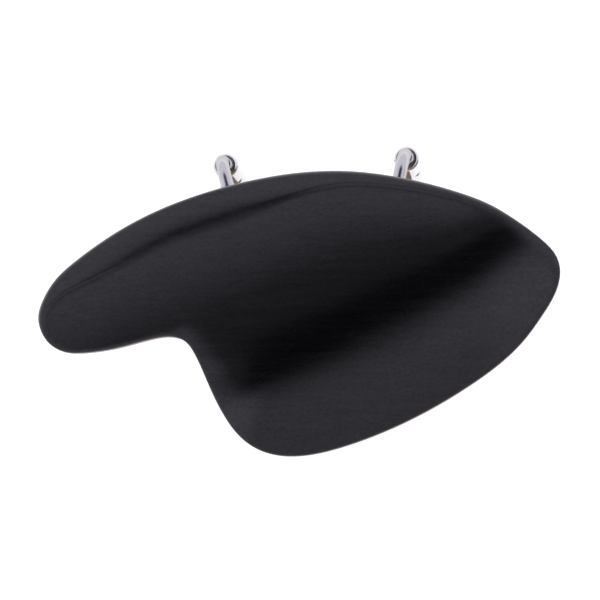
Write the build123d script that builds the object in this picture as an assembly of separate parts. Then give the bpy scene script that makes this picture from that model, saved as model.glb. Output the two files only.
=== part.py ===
from build123d import *
import math
import os

import numpy as np

os.makedirs("parts", exist_ok=True)

# Violin chin rest, all lengths in millimetres: a contoured plate with a heel
# block, held by two clamps of bracket, barrel and foot.
# Frame: the origin lies midway between the two clamp posts, on the plane of
# the violin's top edge (the underside of the heel cork).
# +X runs from the left post to the right post, +Y points away from the
# violin, towards the player, and +Z points up, away from the violin's top.
# The plate's back edge is the one at high Y. "Inward" on a clamp arm is the
# distance from the post axis towards the plate.

# ---------------------------------------------------------------- dimensions
# clamp posts
SIDES = {"left": -1, "right": 1}
POST_SPACING = 43.6        # between the two barrel axes
SPLAY_DEG = 13.0           # angle of each clamp arm to the Y axis in plan
ROD_R = 1.55               # plain rod of brackets and feet
THREAD_R = 1.72            # rolled thread, envelope radius
THREAD_CHAMFER = 0.5
BEND_R = 4.5               # centre line of the 90 degree bends
OVERLAP = 0.5              # of the rod with its thread and its flat end
FLAT_CORNER_R = 2.4        # corners of tabs and pads

# upper bracket, with a flattened, screwed tab
TAB_T = 1.8
TAB_W = 7.0
TAB_TOP_Z = 8.6
TAB_FROM, TAB_TO = 9.0, 22.0        # inward
TAB_BOTTOM_Z = TAB_TOP_Z - TAB_T
BRACKET_ARM_Z = TAB_TOP_Z - ROD_R   # rod flush with the tab's top
BRACKET_PLAIN_END_Z = 0.0
BRACKET_END_Z = -9.5                # lower end of the thread

# countersunk wood screws
SCREW_AT = {"rear": 13.6, "front": 18.8}   # inward
SCREW_SHANK_R = 1.25
SCREW_HEAD_R = 2.2
SCREW_LEN = 10.0
SCREW_POINT_LEN = 2.5
SCREW_POINT_R = 0.15
SCREW_SLOT_W = 0.6
SCREW_SLOT_H = 0.5
COUNTERSINK_H = 0.95
SCREW_HOLE_R = SCREW_SHANK_R + 0.1         # clearance hole in the tab

# barrel (turnbuckle)
BARREL_R = 3.1
BARREL_TOP_Z = -2.0
BARREL_LEN = 24.0
BARREL_BORE_R = 1.80
BARREL_FLAT_R = 2.5        # flat annulus at each end, then a chamfer
BARREL_CHAMFER_H = 0.6
KEY_HOLE_R = 0.9
KEY_HOLE_Z = BARREL_TOP_Z - BARREL_LEN / 2
KEY_HOLE_TURNS = (45, 135)

# lower foot, with a flat pad
PAD_T = 1.8
PAD_W = 7.0
PAD_TOP_Z = -40.5
PAD_FROM, PAD_TO = 7.5, 21.5        # inward
FOOT_ARM_Z = PAD_TOP_Z - ROD_R      # rod flush with the pad's top
FOOT_THREAD_TOP_Z = -18.5
FOOT_PLAIN_TOP_Z = -30.0            # the thread ends here

# corks
CORK_T = 2.0
FOOT_CORK_W = PAD_W + 0.6
FOOT_CORK_FROM, FOOT_CORK_TO = PAD_FROM + 0.6, PAD_TO + 0.3
FOOT_CORK_CORNER_R = 1.5

# heel block, on top of the heel cork and set in from the plate's back edge
HEEL_HALF_LEN = 33.0
HEEL_FRONT_SHORTER = 3.0   # at each end of the front line
HEEL_BACK_INSET = 1.6
HEEL_DEPTH = 17.0
HEEL_CORNER_R = 4.5
POCKET_W = 8.6             # room for a bracket
POCKET_END = 22.7          # inward
CORK_GAP_END = 32.0        # inward, beyond the cork's front line
CUT_BOTTOM_Z = -5.0        # below everything these cuts go through

# plate
EDGE_T = 4.2               # thickness at the rim
MIN_T = 3.6                # least thickness
INNER_T = 6.4              # usual thickness
TOP_EDGE_R = 1.0
BOTTOM_EDGE_R = 1.6
RIM_MIN_LEN = 250          # only the edges round the rim are longer

# plate outline (x, y), counter-clockwise from the back edge, seen from above
OUTLINE = [
    (-23.36, -10.59), (-31.51, -13.26), (-39.26, -16.55), (-46.55, -20.48), (-53.31, -25.07),
    (-58.10, -29.24), (-61.70, -34.75), (-62.74, -38.31), (-62.09, -41.73), (-60.09, -44.61),
    (-57.30, -46.13), (-52.47, -46.47), (-44.54, -45.41), (-36.77, -43.59), (-32.14, -43.30),
    (-29.66, -44.26), (-27.78, -46.80), (-24.80, -54.10), (-21.34, -61.35), (-17.69, -66.34),
    (-13.49, -69.59), (-8.58, -71.27), (-2.48, -71.53), (4.65, -70.29), (12.72, -67.86),
    (20.65, -64.73), (28.41, -60.96), (35.96, -56.60), (42.74, -51.95), (48.18, -47.03),
    (52.91, -40.98), (56.23, -35.31), (57.12, -31.07), (56.43, -27.61), (53.50, -23.67),
    (47.87, -18.85), (41.68, -14.84), (34.81, -12.04), (26.47, -9.57), (18.14, -7.76),
    (9.88, -6.72), (1.67, -6.51), (-6.65, -7.13), (-15.01, -8.51),
]

# top of the plate: a slanting trough between a crest along the back edge and
# a rise along the front edge
TILT_X, TILT_Y = -0.050, 0.085      # slope of the trough's floor
FLOOR_POINT = (10.0, -38.5, 17.5)   # a point on the tilted floor
TROUGH_Y, TROUGH_SLOPE = -43.25, 0.476   # trough line, y = TROUGH_Y + TROUGH_SLOPE * x
BACK_RISE = 0.414                   # slope reached at the crest
FRONT_RUN, FRONT_RUN_GAIN = 11.2, 11.5   # from trough line to full slope, and its gain
FRONT_RUN_SPAN = (-30.0, 45.0)      # x over which it gains
FRONT_RISE, FRONT_EASE = 0.31, 0.02      # full front slope, and its loss to the right
FRONT_EASE_SPAN = (10.0, 50.0)      # x over which it is lost
FRONT_CURVE = 0.028                 # greatest curvature the rise starts with
END_X, END_SOFT, END_SLOPE = 42.0, 3.0, 0.17   # the floor turns up at the right end

# crest: (x, distance in y from trough line to crest)
CREST = [
    (-70, 40.2), (-62, 39.6), (-48, 38.7), (-41, 38.3), (-34, 37.7), (-27, 36.8),
    (-20, 35.6), (-10.7, 33.9), (-3.7, 32.4), (3.2, 30.4), (12.4, 26.4), (21.5, 21.2),
    (30.6, 15.6), (38, 11.6), (46, 8.6), (54, 7.2), (62, 6.5), (70, 6.2),
]

# bevelled band between the crest and the rim, at points round the outline:
# (x, y, width, slope it takes off the base at the crest, further slope it
# takes off by the rim, roundness of the crest)
EDGE_BANDS = [
    (11.0, -6.8, 3.2, 0.78, 0.10, 0.26), (3.5, -6.6, 4.3, 0.74, 0.18, 0.28),
    (-3.5, -7.0, 5.6, 0.68, 0.26, 0.36),
    (-12.0, -8.0, 7.3, 0.58, 0.38, 0.50), (-22.0, -10.1, 8.2, 0.54, 0.42, 0.58),
    (-35.0, -14.9, 7.8, 0.56, 0.40, 0.42), (-48.0, -21.4, 7.6, 0.60, 0.32, 0.34),
    (-55.0, -26.4, 6.0, 0.66, 0.24, 0.28), (-60.3, -32.0, 3.6, 0.68, 0.10, 0.28),
    (-62.7, -38.3, 1.5, 0.60, 0.10, 0.25), (-60.1, -44.6, 0.6, 0.40, 0.00, 0.20),
    (-55.0, -46.4, 0.2, 0.00, 0.00, 0.30), (-40.0, -44.4, 0.2, 0.00, 0.00, 0.30),
    (-32.1, -43.3, 0.4, 0.25, 0.00, 0.30), (-27.8, -46.8, 4.5, 0.14, 0.05, 1.80),
    (-24.8, -54.1, 8.2, 0.21, 0.08, 2.60), (-21.3, -61.4, 7.0, 0.18, 0.06, 2.40),
    (-17.7, -66.3, 3.0, 0.13, 0.00, 1.40), (-13.5, -69.6, 0.3, 0.00, 0.00, 0.40),
    (0.0, -71.2, 0.2, 0.00, 0.00, 0.30), (20.6, -64.7, 0.2, 0.00, 0.00, 0.30),
    (43.0, -51.7, 0.2, 0.00, 0.00, 0.30), (52.9, -41.0, 0.2, 0.00, 0.00, 0.30),
    (56.2, -35.3, 0.4, 0.30, 0.00, 0.25), (57.1, -31.1, 1.1, 0.34, 0.00, 0.35),
    (56.4, -27.6, 1.9, 0.38, 0.00, 0.50), (53.5, -23.7, 2.4, 0.44, 0.00, 0.55),
    (47.9, -18.9, 1.8, 0.50, 0.05, 0.45), (41.7, -14.8, 1.5, 0.60, 0.10, 0.30),
    (34.8, -12.0, 1.8, 0.70, 0.10, 0.28), (26.5, -9.6, 2.3, 0.76, 0.10, 0.26),
    (18.1, -7.8, 2.9, 0.78, 0.10, 0.26),
]

# sampling and fitting of the plate's surfaces
RIM_COUNT = 900            # points on the dense rim
COARSE_STEP = 10           # rim points skipped in the first, coarse search
SEARCH_REACH = 16          # rim points searched either side of the coarse hit
SMOOTH_HALF = 13           # half width of the band smoothing, in rim points
BOTTOM_DEGREE = 5
BOTTOM_BLEND = 1.5         # roundness where the underside meets its cap
PATCH_X = (-68.0, 62.0)
PATCH_Y = (-77.0, -1.0)
PATCH_STIFFNESS = 3e-3     # penalty on the control net's second differences
TOP_DEGREES = (20, 16)     # of the Bezier patches, in x and y
BOTTOM_DEGREES = (10, 8)


# ------------------------------------------------------------------- splines
def spline_span(before, after, values, bends, gap):
    """Cubic between two knots, from the weights, values and second
    derivatives of the knots before and after."""
    return (before * values[0] + after * values[1]
            + ((before**3 - before) * bends[0] + (after**3 - after) * bends[1]) * gap**2 / 6)


def natural_spline(knots, values):
    """Natural cubic spline as a function, held constant outside the knots."""
    knots = np.asarray(knots, float)
    values = np.asarray(values, float)
    count = len(knots)
    gaps = np.diff(knots)
    matrix = np.eye(count)
    target = np.zeros(count)
    for i in range(1, count - 1):
        matrix[i, i - 1:i + 2] = gaps[i - 1], 2 * (gaps[i - 1] + gaps[i]), gaps[i]
        target[i] = 6 * ((values[i + 1] - values[i]) / gaps[i]
                         - (values[i] - values[i - 1]) / gaps[i - 1])
    bends = np.linalg.solve(matrix, target)

    def value_at(x):
        x = np.clip(np.asarray(x, float), knots[0], knots[-1])
        i = np.clip(np.searchsorted(knots, x) - 1, 0, count - 2)
        return spline_span((knots[i + 1] - x) / gaps[i], (x - knots[i]) / gaps[i],
                           (values[i], values[i + 1]), (bends[i], bends[i + 1]), gaps[i])
    return value_at


def closed_curve(points, samples):
    """Dense closed polyline along the periodic cubic spline of the points."""
    points = np.asarray(points, float)
    count = len(points)
    gaps = np.hypot(*(np.roll(points, -1, axis=0) - points).T)
    matrix = np.zeros((count, count))
    target = np.zeros((count, 2))
    for i in range(count):
        j, k = (i - 1) % count, (i + 1) % count
        matrix[i, j] += gaps[j]
        matrix[i, i] += 2 * (gaps[j] + gaps[i])
        matrix[i, k] += gaps[i]
        target[i] = 6 * ((points[k] - points[i]) / gaps[i] - (points[i] - points[j]) / gaps[j])
    bends = np.linalg.solve(matrix, target)
    knots = np.r_[0, np.cumsum(gaps)]
    travel = np.linspace(0, knots[-1], samples, endpoint=False)
    i = np.clip(np.searchsorted(knots, travel, side="right") - 1, 0, count - 1)
    k = (i + 1) % count
    before = ((knots[i + 1] - travel) / gaps[i])[:, None]
    after = ((travel - knots[i]) / gaps[i])[:, None]
    return spline_span(before, after, (points[i], points[k]), (bends[i], bends[k]),
                       gaps[i][:, None])


crest_distance = natural_spline(*zip(*CREST))
RIM = closed_curve(OUTLINE, RIM_COUNT)


# ------------------------------------------------------------ plate surfaces
def edge_distance(x, y):
    """Distance inside the outline, negative outside, and where along the rim
    the nearest point lies, counted in rim points."""
    x = x.ravel()
    y = y.ravel()
    coarse = RIM[::COARSE_STEP]
    coarse_hit = ((x[:, None] - coarse[:, 0])**2 + (y[:, None] - coarse[:, 1])**2).argmin(1)
    step = np.roll(RIM, -1, axis=0) - RIM
    step_squared = (step**2).sum(1)
    best = np.full(len(x), 1e9)
    place = np.zeros(len(x))
    sign = np.ones(len(x))
    for offset in range(-SEARCH_REACH, SEARCH_REACH):
        j = (coarse_hit * COARSE_STEP + offset) % RIM_COUNT
        off_x, off_y = x - RIM[j, 0], y - RIM[j, 1]
        along = np.clip((off_x * step[j, 0] + off_y * step[j, 1]) / step_squared[j], 0, 1)
        distance = np.hypot(off_x - along * step[j, 0], off_y - along * step[j, 1])
        closer = distance < best
        best = np.where(closer, distance, best)
        place = np.where(closer, (j + along) % RIM_COUNT, place)
        sign = np.where(closer, np.sign(step[j, 0] * off_y - step[j, 1] * off_x), sign)
    return best * np.where(sign == 0, 1, sign), place


def rim_bands():
    """The edge band's four values at each rim point, smoothed along the rim."""
    table = np.array(EDGE_BANDS)
    at = np.array([np.hypot(RIM[:, 0] - x, RIM[:, 1] - y).argmin() for x, y in table[:, :2]])
    order = np.argsort(at)
    at, table = at[order], table[order]
    width = 2 * SMOOTH_HALF + 1
    kernel = np.hanning(width)
    kernel /= kernel.sum()
    kernel = np.fft.fft(np.r_[kernel[SMOOTH_HALF:], np.zeros(RIM_COUNT - width),
                              kernel[:SMOOTH_HALF]])
    bands = []
    for column in table.T[2:]:
        values = np.interp(np.arange(RIM_COUNT), np.r_[at - RIM_COUNT, at, at + RIM_COUNT],
                           np.tile(column, 3))
        bands.append(np.real(np.fft.ifft(np.fft.fft(values) * kernel)))
    return bands


BAND_WIDTH, BAND_DROP, BAND_MORE, BAND_SOFT = rim_bands()


def along_rim(values, place):
    j = np.floor(place).astype(int)
    part = place - j
    return values[j % RIM_COUNT] * (1 - part) + values[(j + 1) % RIM_COUNT] * part


def blend(x, start, end):
    """Smooth step from 0 at start to 1 at end."""
    part = np.clip((x - start) / (end - start), 0, 1)
    return part * part * (3 - 2 * part)


def softplus(value, soft):
    """Smooth version of max(value, 0)."""
    value = value / soft
    return soft * (np.maximum(value, 0) + np.log1p(np.exp(-np.abs(value))))


def base_height(x, y):
    """Trough, back rise and front rise, without the bevelled band."""
    cosine = 1 / math.sqrt(1 + TROUGH_SLOPE**2)
    # distance from the trough line, positive towards the front
    ahead = -(y - (TROUGH_Y + TROUGH_SLOPE * x)) * cosine
    back_curve = BACK_RISE / (crest_distance(x) * cosine)
    run = FRONT_RUN + FRONT_RUN_GAIN * blend(x, *FRONT_RUN_SPAN)
    rise = FRONT_RISE - FRONT_EASE * blend(x, *FRONT_EASE_SPAN)
    part = np.clip(ahead / run, 0, 1)
    # the start carries the back's curvature over, the climb reaches the full slope
    start = run**2 * (part**2 / 2 - 3 * part**4 / 4 + 2 * part**5 / 5)
    climb = run * (part**3 - part**4 / 2) + np.maximum(ahead - run, 0)
    front_curve = back_curve / (1 + (back_curve / FRONT_CURVE)**4)**0.25
    profile = np.where(ahead < 0, back_curve * ahead * ahead / 2,
                       front_curve * start + rise * climb)
    floor_x, floor_y, floor_z = FLOOR_POINT
    return (floor_z + TILT_X * (x - floor_x) + TILT_Y * (y - floor_y) + profile
            + END_SLOPE * softplus(x - END_X, END_SOFT))


def top_height(x, y, inside, place):
    """Top of the plate; inside and place are edge_distance's results."""
    width = along_rim(BAND_WIDTH, place)
    into_band = softplus(width - inside, along_rim(BAND_SOFT, place))
    return (base_height(x, y) - along_rim(BAND_DROP, place) * into_band
            - along_rim(BAND_MORE, place) * into_band * into_band / (2 * np.maximum(width, 1)))


def bottom_terms(x, y):
    """Terms of the underside's polynomial, on roughly unit coordinates."""
    u, v = x / 60, (y + 38) / 33
    return [u**p * v**q for p in range(BOTTOM_DEGREE + 1) for q in range(BOTTOM_DEGREE + 1 - p)]


def bottom_fit():
    """The underside: a smooth quintic that leaves EDGE_T at the rim and
    about INNER_T inside, without the crest and the trough of the top."""
    rim_place = np.arange(RIM_COUNT)[::3]
    rim_x, rim_y = RIM[rim_place].T
    rim_z = top_height(rim_x, rim_y, np.zeros(len(rim_x)), rim_place) - EDGE_T
    x, y = [g.ravel() for g in np.meshgrid(np.arange(-60.0, 58, 4), np.arange(-70.0, -6, 4))]
    inside, place = edge_distance(x, y)
    keep = inside > 5
    x, y = x[keep], y[keep]
    z = top_height(x, y, inside[keep], place[keep]) - INNER_T
    weight = np.r_[np.full(len(rim_x), 3.0), np.full(len(x), 0.6)]
    terms = np.stack(bottom_terms(np.r_[rim_x, x], np.r_[rim_y, y]), 1)
    return np.linalg.lstsq(terms * weight[:, None], np.r_[rim_z, z] * weight, rcond=None)[0]


BOTTOM_FIT = bottom_fit()


def bottom_height(x, y, inside, place):
    """Smooth minimum of the fitted underside and a cap that keeps MIN_T."""
    z = sum(c * t for c, t in zip(BOTTOM_FIT, bottom_terms(x, y)))
    cap = top_height(x, y, inside, place) - MIN_T
    share = np.clip(0.5 + 0.5 * (cap - z) / BOTTOM_BLEND, 0, 1)
    return cap * (1 - share) + z * share - BOTTOM_BLEND * share * (1 - share)


def bernstein(degree, t):
    return np.stack([math.comb(degree, k) * t**k * (1 - t)**(degree - k)
                     for k in range(degree + 1)], 1)


def patch_net(height, degree_x, degree_y):
    """Control net of one Bezier patch, fitted to a height function over the
    outline and a narrow margin round it."""
    grid_x = np.linspace(*PATCH_X, 80)
    grid_y = np.linspace(*PATCH_Y, 50)
    x, y = np.meshgrid(grid_x, grid_y, indexing="ij")
    inside, place = [values.reshape(x.shape) for values in edge_distance(x, y)]
    z = height(x, y, np.maximum(inside, -1.5), place)
    weight = np.where(inside > -1.0, 1.0, 0.03).ravel()
    basis_x = bernstein(degree_x, (grid_x - PATCH_X[0]) / (PATCH_X[1] - PATCH_X[0]))
    basis_y = bernstein(degree_y, (grid_y - PATCH_Y[0]) / (PATCH_Y[1] - PATCH_Y[0]))
    basis = np.einsum("ia,jb->ijab", basis_x, basis_y).reshape(x.size, -1)
    count_x, count_y = degree_x + 1, degree_y + 1
    bend_x = np.kron(np.diff(np.eye(count_x), 2, axis=0), np.eye(count_y))
    bend_y = np.kron(np.eye(count_x), np.diff(np.eye(count_y), 2, axis=0))
    net = np.linalg.lstsq(
        np.r_[basis * weight[:, None], PATCH_STIFFNESS * bend_x, PATCH_STIFFNESS * bend_y],
        np.r_[z.ravel() * weight, np.zeros(len(bend_x) + len(bend_y))],
        rcond=None)[0].reshape(count_x, count_y)
    return [[Vector(float(px), float(py), float(net[j, k]))
             for k, py in enumerate(np.linspace(*PATCH_Y, count_y))]
            for j, px in enumerate(np.linspace(*PATCH_X, count_x))]


# ------------------------------------------------------------------- helpers
def as_solid(shape):
    """The one solid of a boolean's result, or a compound if there are more."""
    solids = shape.solids()
    return solids[0] if len(solids) == 1 else Compound(children=list(solids))


def save(name, shape):
    shape.label = name
    export_step(shape, f"parts/{name}.step")


def arm_direction(side):
    """Unit vector along an arm, inward; side is -1 for left, +1 for right."""
    splay = math.radians(SPLAY_DEG)
    return -side * math.sin(splay), -math.cos(splay)


def on_arm(side, inward, z):
    ux, uy = arm_direction(side)
    return side * POST_SPACING / 2 + ux * inward, uy * inward, z


def arm_box(side, start, end, width, z0, z1):
    """Box lying along an arm, from start to end inward of the post axis."""
    ux, uy = arm_direction(side)
    angle = math.degrees(math.atan2(uy, ux))
    box = Box(end - start, width, z1 - z0, align=(Align.MIN, Align.CENTER, Align.MIN))
    return Pos(*on_arm(side, 0, z0)) * Rot(0, 0, angle) * Pos(start, 0, 0) * box


def rounded_arm_box(side, start, end, width, z0, thickness, corner_r):
    """Arm box with its four upright edges rounded."""
    box = arm_box(side, start, end, width, z0, z0 + thickness)
    upright = [e for e in box.edges() if abs(e.length - thickness) < 1e-6]
    return box.fillet(corner_r, upright)


def upright_cylinder(side, inward, z0, z1, radius):
    return Pos(*on_arm(side, inward, z0)) * Cylinder(
        radius, z1 - z0, align=(Align.CENTER, Align.CENTER, Align.MIN))


# --------------------------------------------------------------------- plate
def heel_face():
    """Footprint that follows the plate's back edge, and a parallel line
    HEEL_DEPTH further in."""
    tangent = np.roll(RIM, -1, axis=0) - np.roll(RIM, 1, axis=0)
    tangent /= np.hypot(*tangent.T)[:, None]
    inward = np.stack([-tangent[:, 1], tangent[:, 0]], 1)
    along_back = [k for k in range(RIM_COUNT) if inward[k][1] < -0.6
                  and abs(RIM[k, 0]) < HEEL_HALF_LEN + 12 and RIM[k, 1] > -25]
    along_back.sort(key=lambda k: RIM[k, 0])

    def parallel(inset, half_len, count):
        line = RIM[along_back] + inward[along_back] * inset
        xs = np.linspace(-half_len, half_len, count)
        ys = np.interp(xs, line[:, 0], line[:, 1])
        return [Vector(float(x), float(y)) for x, y in zip(xs, ys)]

    back = parallel(HEEL_BACK_INSET, HEEL_HALF_LEN, 9)
    front = parallel(HEEL_BACK_INSET + HEEL_DEPTH, HEEL_HALF_LEN - HEEL_FRONT_SHORTER, 7)[::-1]
    back_edge = Edge.make_spline(back)
    front_edge = Edge.make_spline(front)
    right_edge = Edge.make_line(back[-1], front[0])
    left_edge = Edge.make_line(front[-1], back[0])
    face = Face(Wire([back_edge, right_edge, front_edge, left_edge]))
    return face.fillet_2d(HEEL_CORNER_R, face.vertices())


def outline_face():
    return Face(Wire([Edge.make_spline([Vector(*p) for p in OUTLINE], periodic=True)]))


def space_below(height, degrees):
    """Solid that reaches down from a fitted surface."""
    face = Face.make_bezier_surface(patch_net(height, *degrees))
    return extrude(face, amount=40, dir=(0, 0, -1))


def rim_edges(body):
    """Edges that run round the rim, lowest first."""
    return sorted([e for e in body.edges() if e.length > RIM_MIN_LEN],
                  key=lambda e: e.center().Z)


def make_plate():
    under_top = space_below(top_height, TOP_DEGREES)
    under_bottom = space_below(bottom_height, BOTTOM_DEGREES)
    blank = extrude(outline_face(), amount=45, dir=(0, 0, 1)) - under_bottom
    heel = Pos(0, 0, CORK_T) * extrude(heel_face(), amount=30, dir=(0, 0, 1))
    body = as_solid((blank + heel) & under_top)
    body = as_solid(body.fillet(TOP_EDGE_R, [rim_edges(body)[-1]]))
    body = as_solid(body.fillet(BOTTOM_EDGE_R, [rim_edges(body)[0]]))
    for side in SIDES.values():
        body = body - arm_box(side, 0, POCKET_END, POCKET_W, CUT_BOTTOM_Z, TAB_TOP_Z)
        for inward in SCREW_AT.values():
            body = body - upright_cylinder(side, inward, TAB_TOP_Z - 0.1,
                                           TAB_BOTTOM_Z + SCREW_LEN + 0.5, SCREW_SHANK_R)
    return as_solid(body)


def make_heel_corks():
    """The heel's footprint in cork, parted in three by the brackets' gaps."""
    slab = extrude(heel_face(), amount=CORK_T, dir=(0, 0, 1))
    for side in SIDES.values():
        slab = slab - arm_box(side, 0, CORK_GAP_END, POCKET_W, CUT_BOTTOM_Z, 10)
    return sorted(slab.solids(), key=lambda s: s.center().X)


# ------------------------------------------------------------------ hardware
def bent_rod(side, arm_z, end_z, start_inward):
    """Plain rod: along the arm to the bend, then along the post to end_z."""
    ux, uy = arm_direction(side)
    turn = math.copysign(1, end_z - arm_z)
    mid = BEND_R * (1 - math.sqrt(0.5))
    start = Vector(*on_arm(side, start_inward, arm_z))
    bend_start = Vector(*on_arm(side, BEND_R, arm_z))
    bend_mid = Vector(*on_arm(side, mid, arm_z + turn * mid))
    bend_end = Vector(*on_arm(side, 0, arm_z + turn * BEND_R))
    end = Vector(*on_arm(side, 0, end_z))
    path = Wire([Edge.make_line(start, bend_start),
                 Edge.make_three_point_arc(bend_start, bend_mid, bend_end),
                 Edge.make_line(bend_end, end)])
    section = Plane(origin=start, z_dir=(-ux, -uy, 0)) * Circle(ROD_R)
    return sweep(section, path=path)


def post_thread(side, z0, z1, tip_z):
    """Thread envelope on the post axis, chamfered at its tip."""
    thread = upright_cylinder(side, 0, z0, z1, THREAD_R)
    tip = [e for e in thread.edges() if abs(e.center().Z - tip_z) < 0.1]
    return thread.chamfer(THREAD_CHAMFER, None, tip)


def make_bracket(side):
    rod = bent_rod(side, BRACKET_ARM_Z, BRACKET_PLAIN_END_Z, TAB_FROM + OVERLAP)
    tab = rounded_arm_box(side, TAB_FROM, TAB_TO, TAB_W, TAB_BOTTOM_Z, TAB_T, FLAT_CORNER_R)
    thread = post_thread(side, BRACKET_END_Z, BRACKET_PLAIN_END_Z + OVERLAP, BRACKET_END_Z)
    body = rod + tab + thread
    for inward in SCREW_AT.values():
        body = body - upright_cylinder(side, inward, TAB_BOTTOM_Z - 1, TAB_TOP_Z + 1,
                                       SCREW_HOLE_R)
        body = body - Pos(*on_arm(side, inward, TAB_BOTTOM_Z)) * Cone(
            SCREW_HEAD_R + 0.1, SCREW_HOLE_R, COUNTERSINK_H,
            align=(Align.CENTER, Align.CENTER, Align.MIN))
    return as_solid(body)


def make_screw(side, inward):
    """Countersunk wood screw, driven upward through the tab into the heel."""
    head_r = SCREW_HEAD_R - 0.05
    shank_r = SCREW_SHANK_R - 0.02
    profile = Polyline((0, 0), (head_r, 0), (shank_r, COUNTERSINK_H - 0.05),
                       (shank_r, SCREW_LEN - SCREW_POINT_LEN), (SCREW_POINT_R, SCREW_LEN),
                       (0, SCREW_LEN), (0, 0))
    body = revolve(make_face(Plane.XZ * profile), Axis.Z)
    slot = Box(2 * SCREW_HEAD_R + 1, SCREW_SLOT_W, SCREW_SLOT_H,
               align=(Align.CENTER, Align.CENTER, Align.MIN))
    body = body - Pos(0, 0, -0.01) * slot
    return Pos(*on_arm(side, inward, TAB_BOTTOM_Z)) * as_solid(body)


def make_barrel(side):
    profile = Polyline((BARREL_BORE_R, 0), (BARREL_FLAT_R, 0), (BARREL_R, BARREL_CHAMFER_H),
                       (BARREL_R, BARREL_LEN - BARREL_CHAMFER_H), (BARREL_FLAT_R, BARREL_LEN),
                       (BARREL_BORE_R, BARREL_LEN), (BARREL_BORE_R, 0))
    body = revolve(make_face(Plane.XZ * profile), Axis.Z)
    body = Pos(*on_arm(side, 0, BARREL_TOP_Z - BARREL_LEN)) * body
    hole = Cylinder(KEY_HOLE_R, 3 * BARREL_R)
    for turn in KEY_HOLE_TURNS:
        body = body - Pos(*on_arm(side, 0, KEY_HOLE_Z)) * Rot(0, 0, turn) * Rot(0, 90, 0) * hole
    return as_solid(body)


def make_foot(side):
    rod = bent_rod(side, FOOT_ARM_Z, FOOT_PLAIN_TOP_Z + OVERLAP, PAD_FROM + OVERLAP)
    pad = rounded_arm_box(side, PAD_FROM, PAD_TO, PAD_W, PAD_TOP_Z - PAD_T, PAD_T,
                          FLAT_CORNER_R)
    thread = post_thread(side, FOOT_PLAIN_TOP_Z, FOOT_THREAD_TOP_Z, FOOT_THREAD_TOP_Z)
    return as_solid(rod + pad + thread)


def make_foot_cork(side):
    return rounded_arm_box(side, FOOT_CORK_FROM, FOOT_CORK_TO, FOOT_CORK_W, PAD_TOP_Z,
                           CORK_T, FOOT_CORK_CORNER_R)


if __name__ == "__main__":
    save("chin_plate", make_plate())
    for place_name, cork in zip(("left", "middle", "right"), make_heel_corks()):
        save(f"heel_cork_{place_name}", cork)
    for side_name, side in SIDES.items():
        save(f"upper_bracket_{side_name}", make_bracket(side))
        for screw_name, inward in SCREW_AT.items():
            save(f"bracket_screw_{side_name}_{screw_name}", make_screw(side, inward))
        save(f"barrel_{side_name}", make_barrel(side))
        save(f"lower_foot_{side_name}", make_foot(side))
        save(f"foot_cork_{side_name}", make_foot_cork(side))
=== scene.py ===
"""A violin chin rest: an ebony plate on a heel block, held by two clamps.

Lengths are in millimetres unless noted, and meshes are written in metres. The
violin's top is z = 0, +Z is up, +X is right and +Y is the back. The two clamp
posts stand on y = 0 and the plate lies in front of them, at negative y.
"Inward" is from a post toward the plate, along that post's arm. A side is -1
for the left post and 1 for the right.
"""
import math
from itertools import combinations
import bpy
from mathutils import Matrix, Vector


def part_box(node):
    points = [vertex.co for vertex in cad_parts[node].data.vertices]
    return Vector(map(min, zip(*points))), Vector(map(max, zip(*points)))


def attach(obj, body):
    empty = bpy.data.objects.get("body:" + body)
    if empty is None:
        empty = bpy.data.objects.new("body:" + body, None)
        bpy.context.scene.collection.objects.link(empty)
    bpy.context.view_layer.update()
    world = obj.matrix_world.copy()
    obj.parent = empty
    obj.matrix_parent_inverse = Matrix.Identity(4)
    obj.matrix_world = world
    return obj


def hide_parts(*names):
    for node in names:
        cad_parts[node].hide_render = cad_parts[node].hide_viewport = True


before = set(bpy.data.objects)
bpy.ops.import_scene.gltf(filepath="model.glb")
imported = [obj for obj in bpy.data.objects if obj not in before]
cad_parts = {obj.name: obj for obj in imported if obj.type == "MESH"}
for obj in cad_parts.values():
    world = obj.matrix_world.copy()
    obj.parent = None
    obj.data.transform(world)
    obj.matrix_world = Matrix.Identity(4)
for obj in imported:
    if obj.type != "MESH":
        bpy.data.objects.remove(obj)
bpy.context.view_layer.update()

from types import SimpleNamespace

import bmesh
import bpy
import numpy as np
from mathutils import Matrix, Vector

MM = 0.001                 # one millimetre in metres

# ---------------------------------------------------------------- dimensions
# clamp posts and rods
POST_SPACING = 43.6        # between the two barrel axes
SPLAY_DEG = 13.0           # going inward, each arm turns to the middle by this
ROD_R = 1.55
BEND_R = 4.5               # centre line of the 90 degree bends
THREAD_PITCH = 0.6
THREAD_CREST_R = 1.755     # rolled a little prouder than the rod
THREAD_ROOT_R = 1.40
THREAD_FADE = 1.2          # length over which the thread grows from the rod
THREAD_TIP_R = 1.28        # the free end is tapered to this
THREAD_TIP_SLOPE = 0.95

# The two kinds of rod. Tab distances are inward from the post axis, leg is
# the way the leg points (1 is up), and hand is 1 for a right-hand thread.
BRACKET = SimpleNamespace(
    tab_top=8.6, tab_thick=1.8, tab_width=7.0, tab_near=9.0, tab_far=22.0,
    thread_start=0.4, thread_end=-9.5, leg=-1, hand=1)
FOOT = SimpleNamespace(
    tab_top=-40.5, tab_thick=1.8, tab_width=7.0, tab_near=7.5, tab_far=21.5,
    thread_start=-30.0, thread_end=-18.5, leg=1, hand=-1)

TAB_CORNER_R = 2.4         # corners of the tab in plan
TAB_RIM = 0.25             # length of the softened far rim
TAB_RIM_THIN = 0.22        # taken off the half thickness there
TAB_RIM_NARROW = 0.12      # and off the half width
FORGED_LEN = 3.0           # from the flat tab to the round rod
TAB_POWER, ROUND_POWER = 7.0, 2.0   # superellipse powers of the sections

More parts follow.
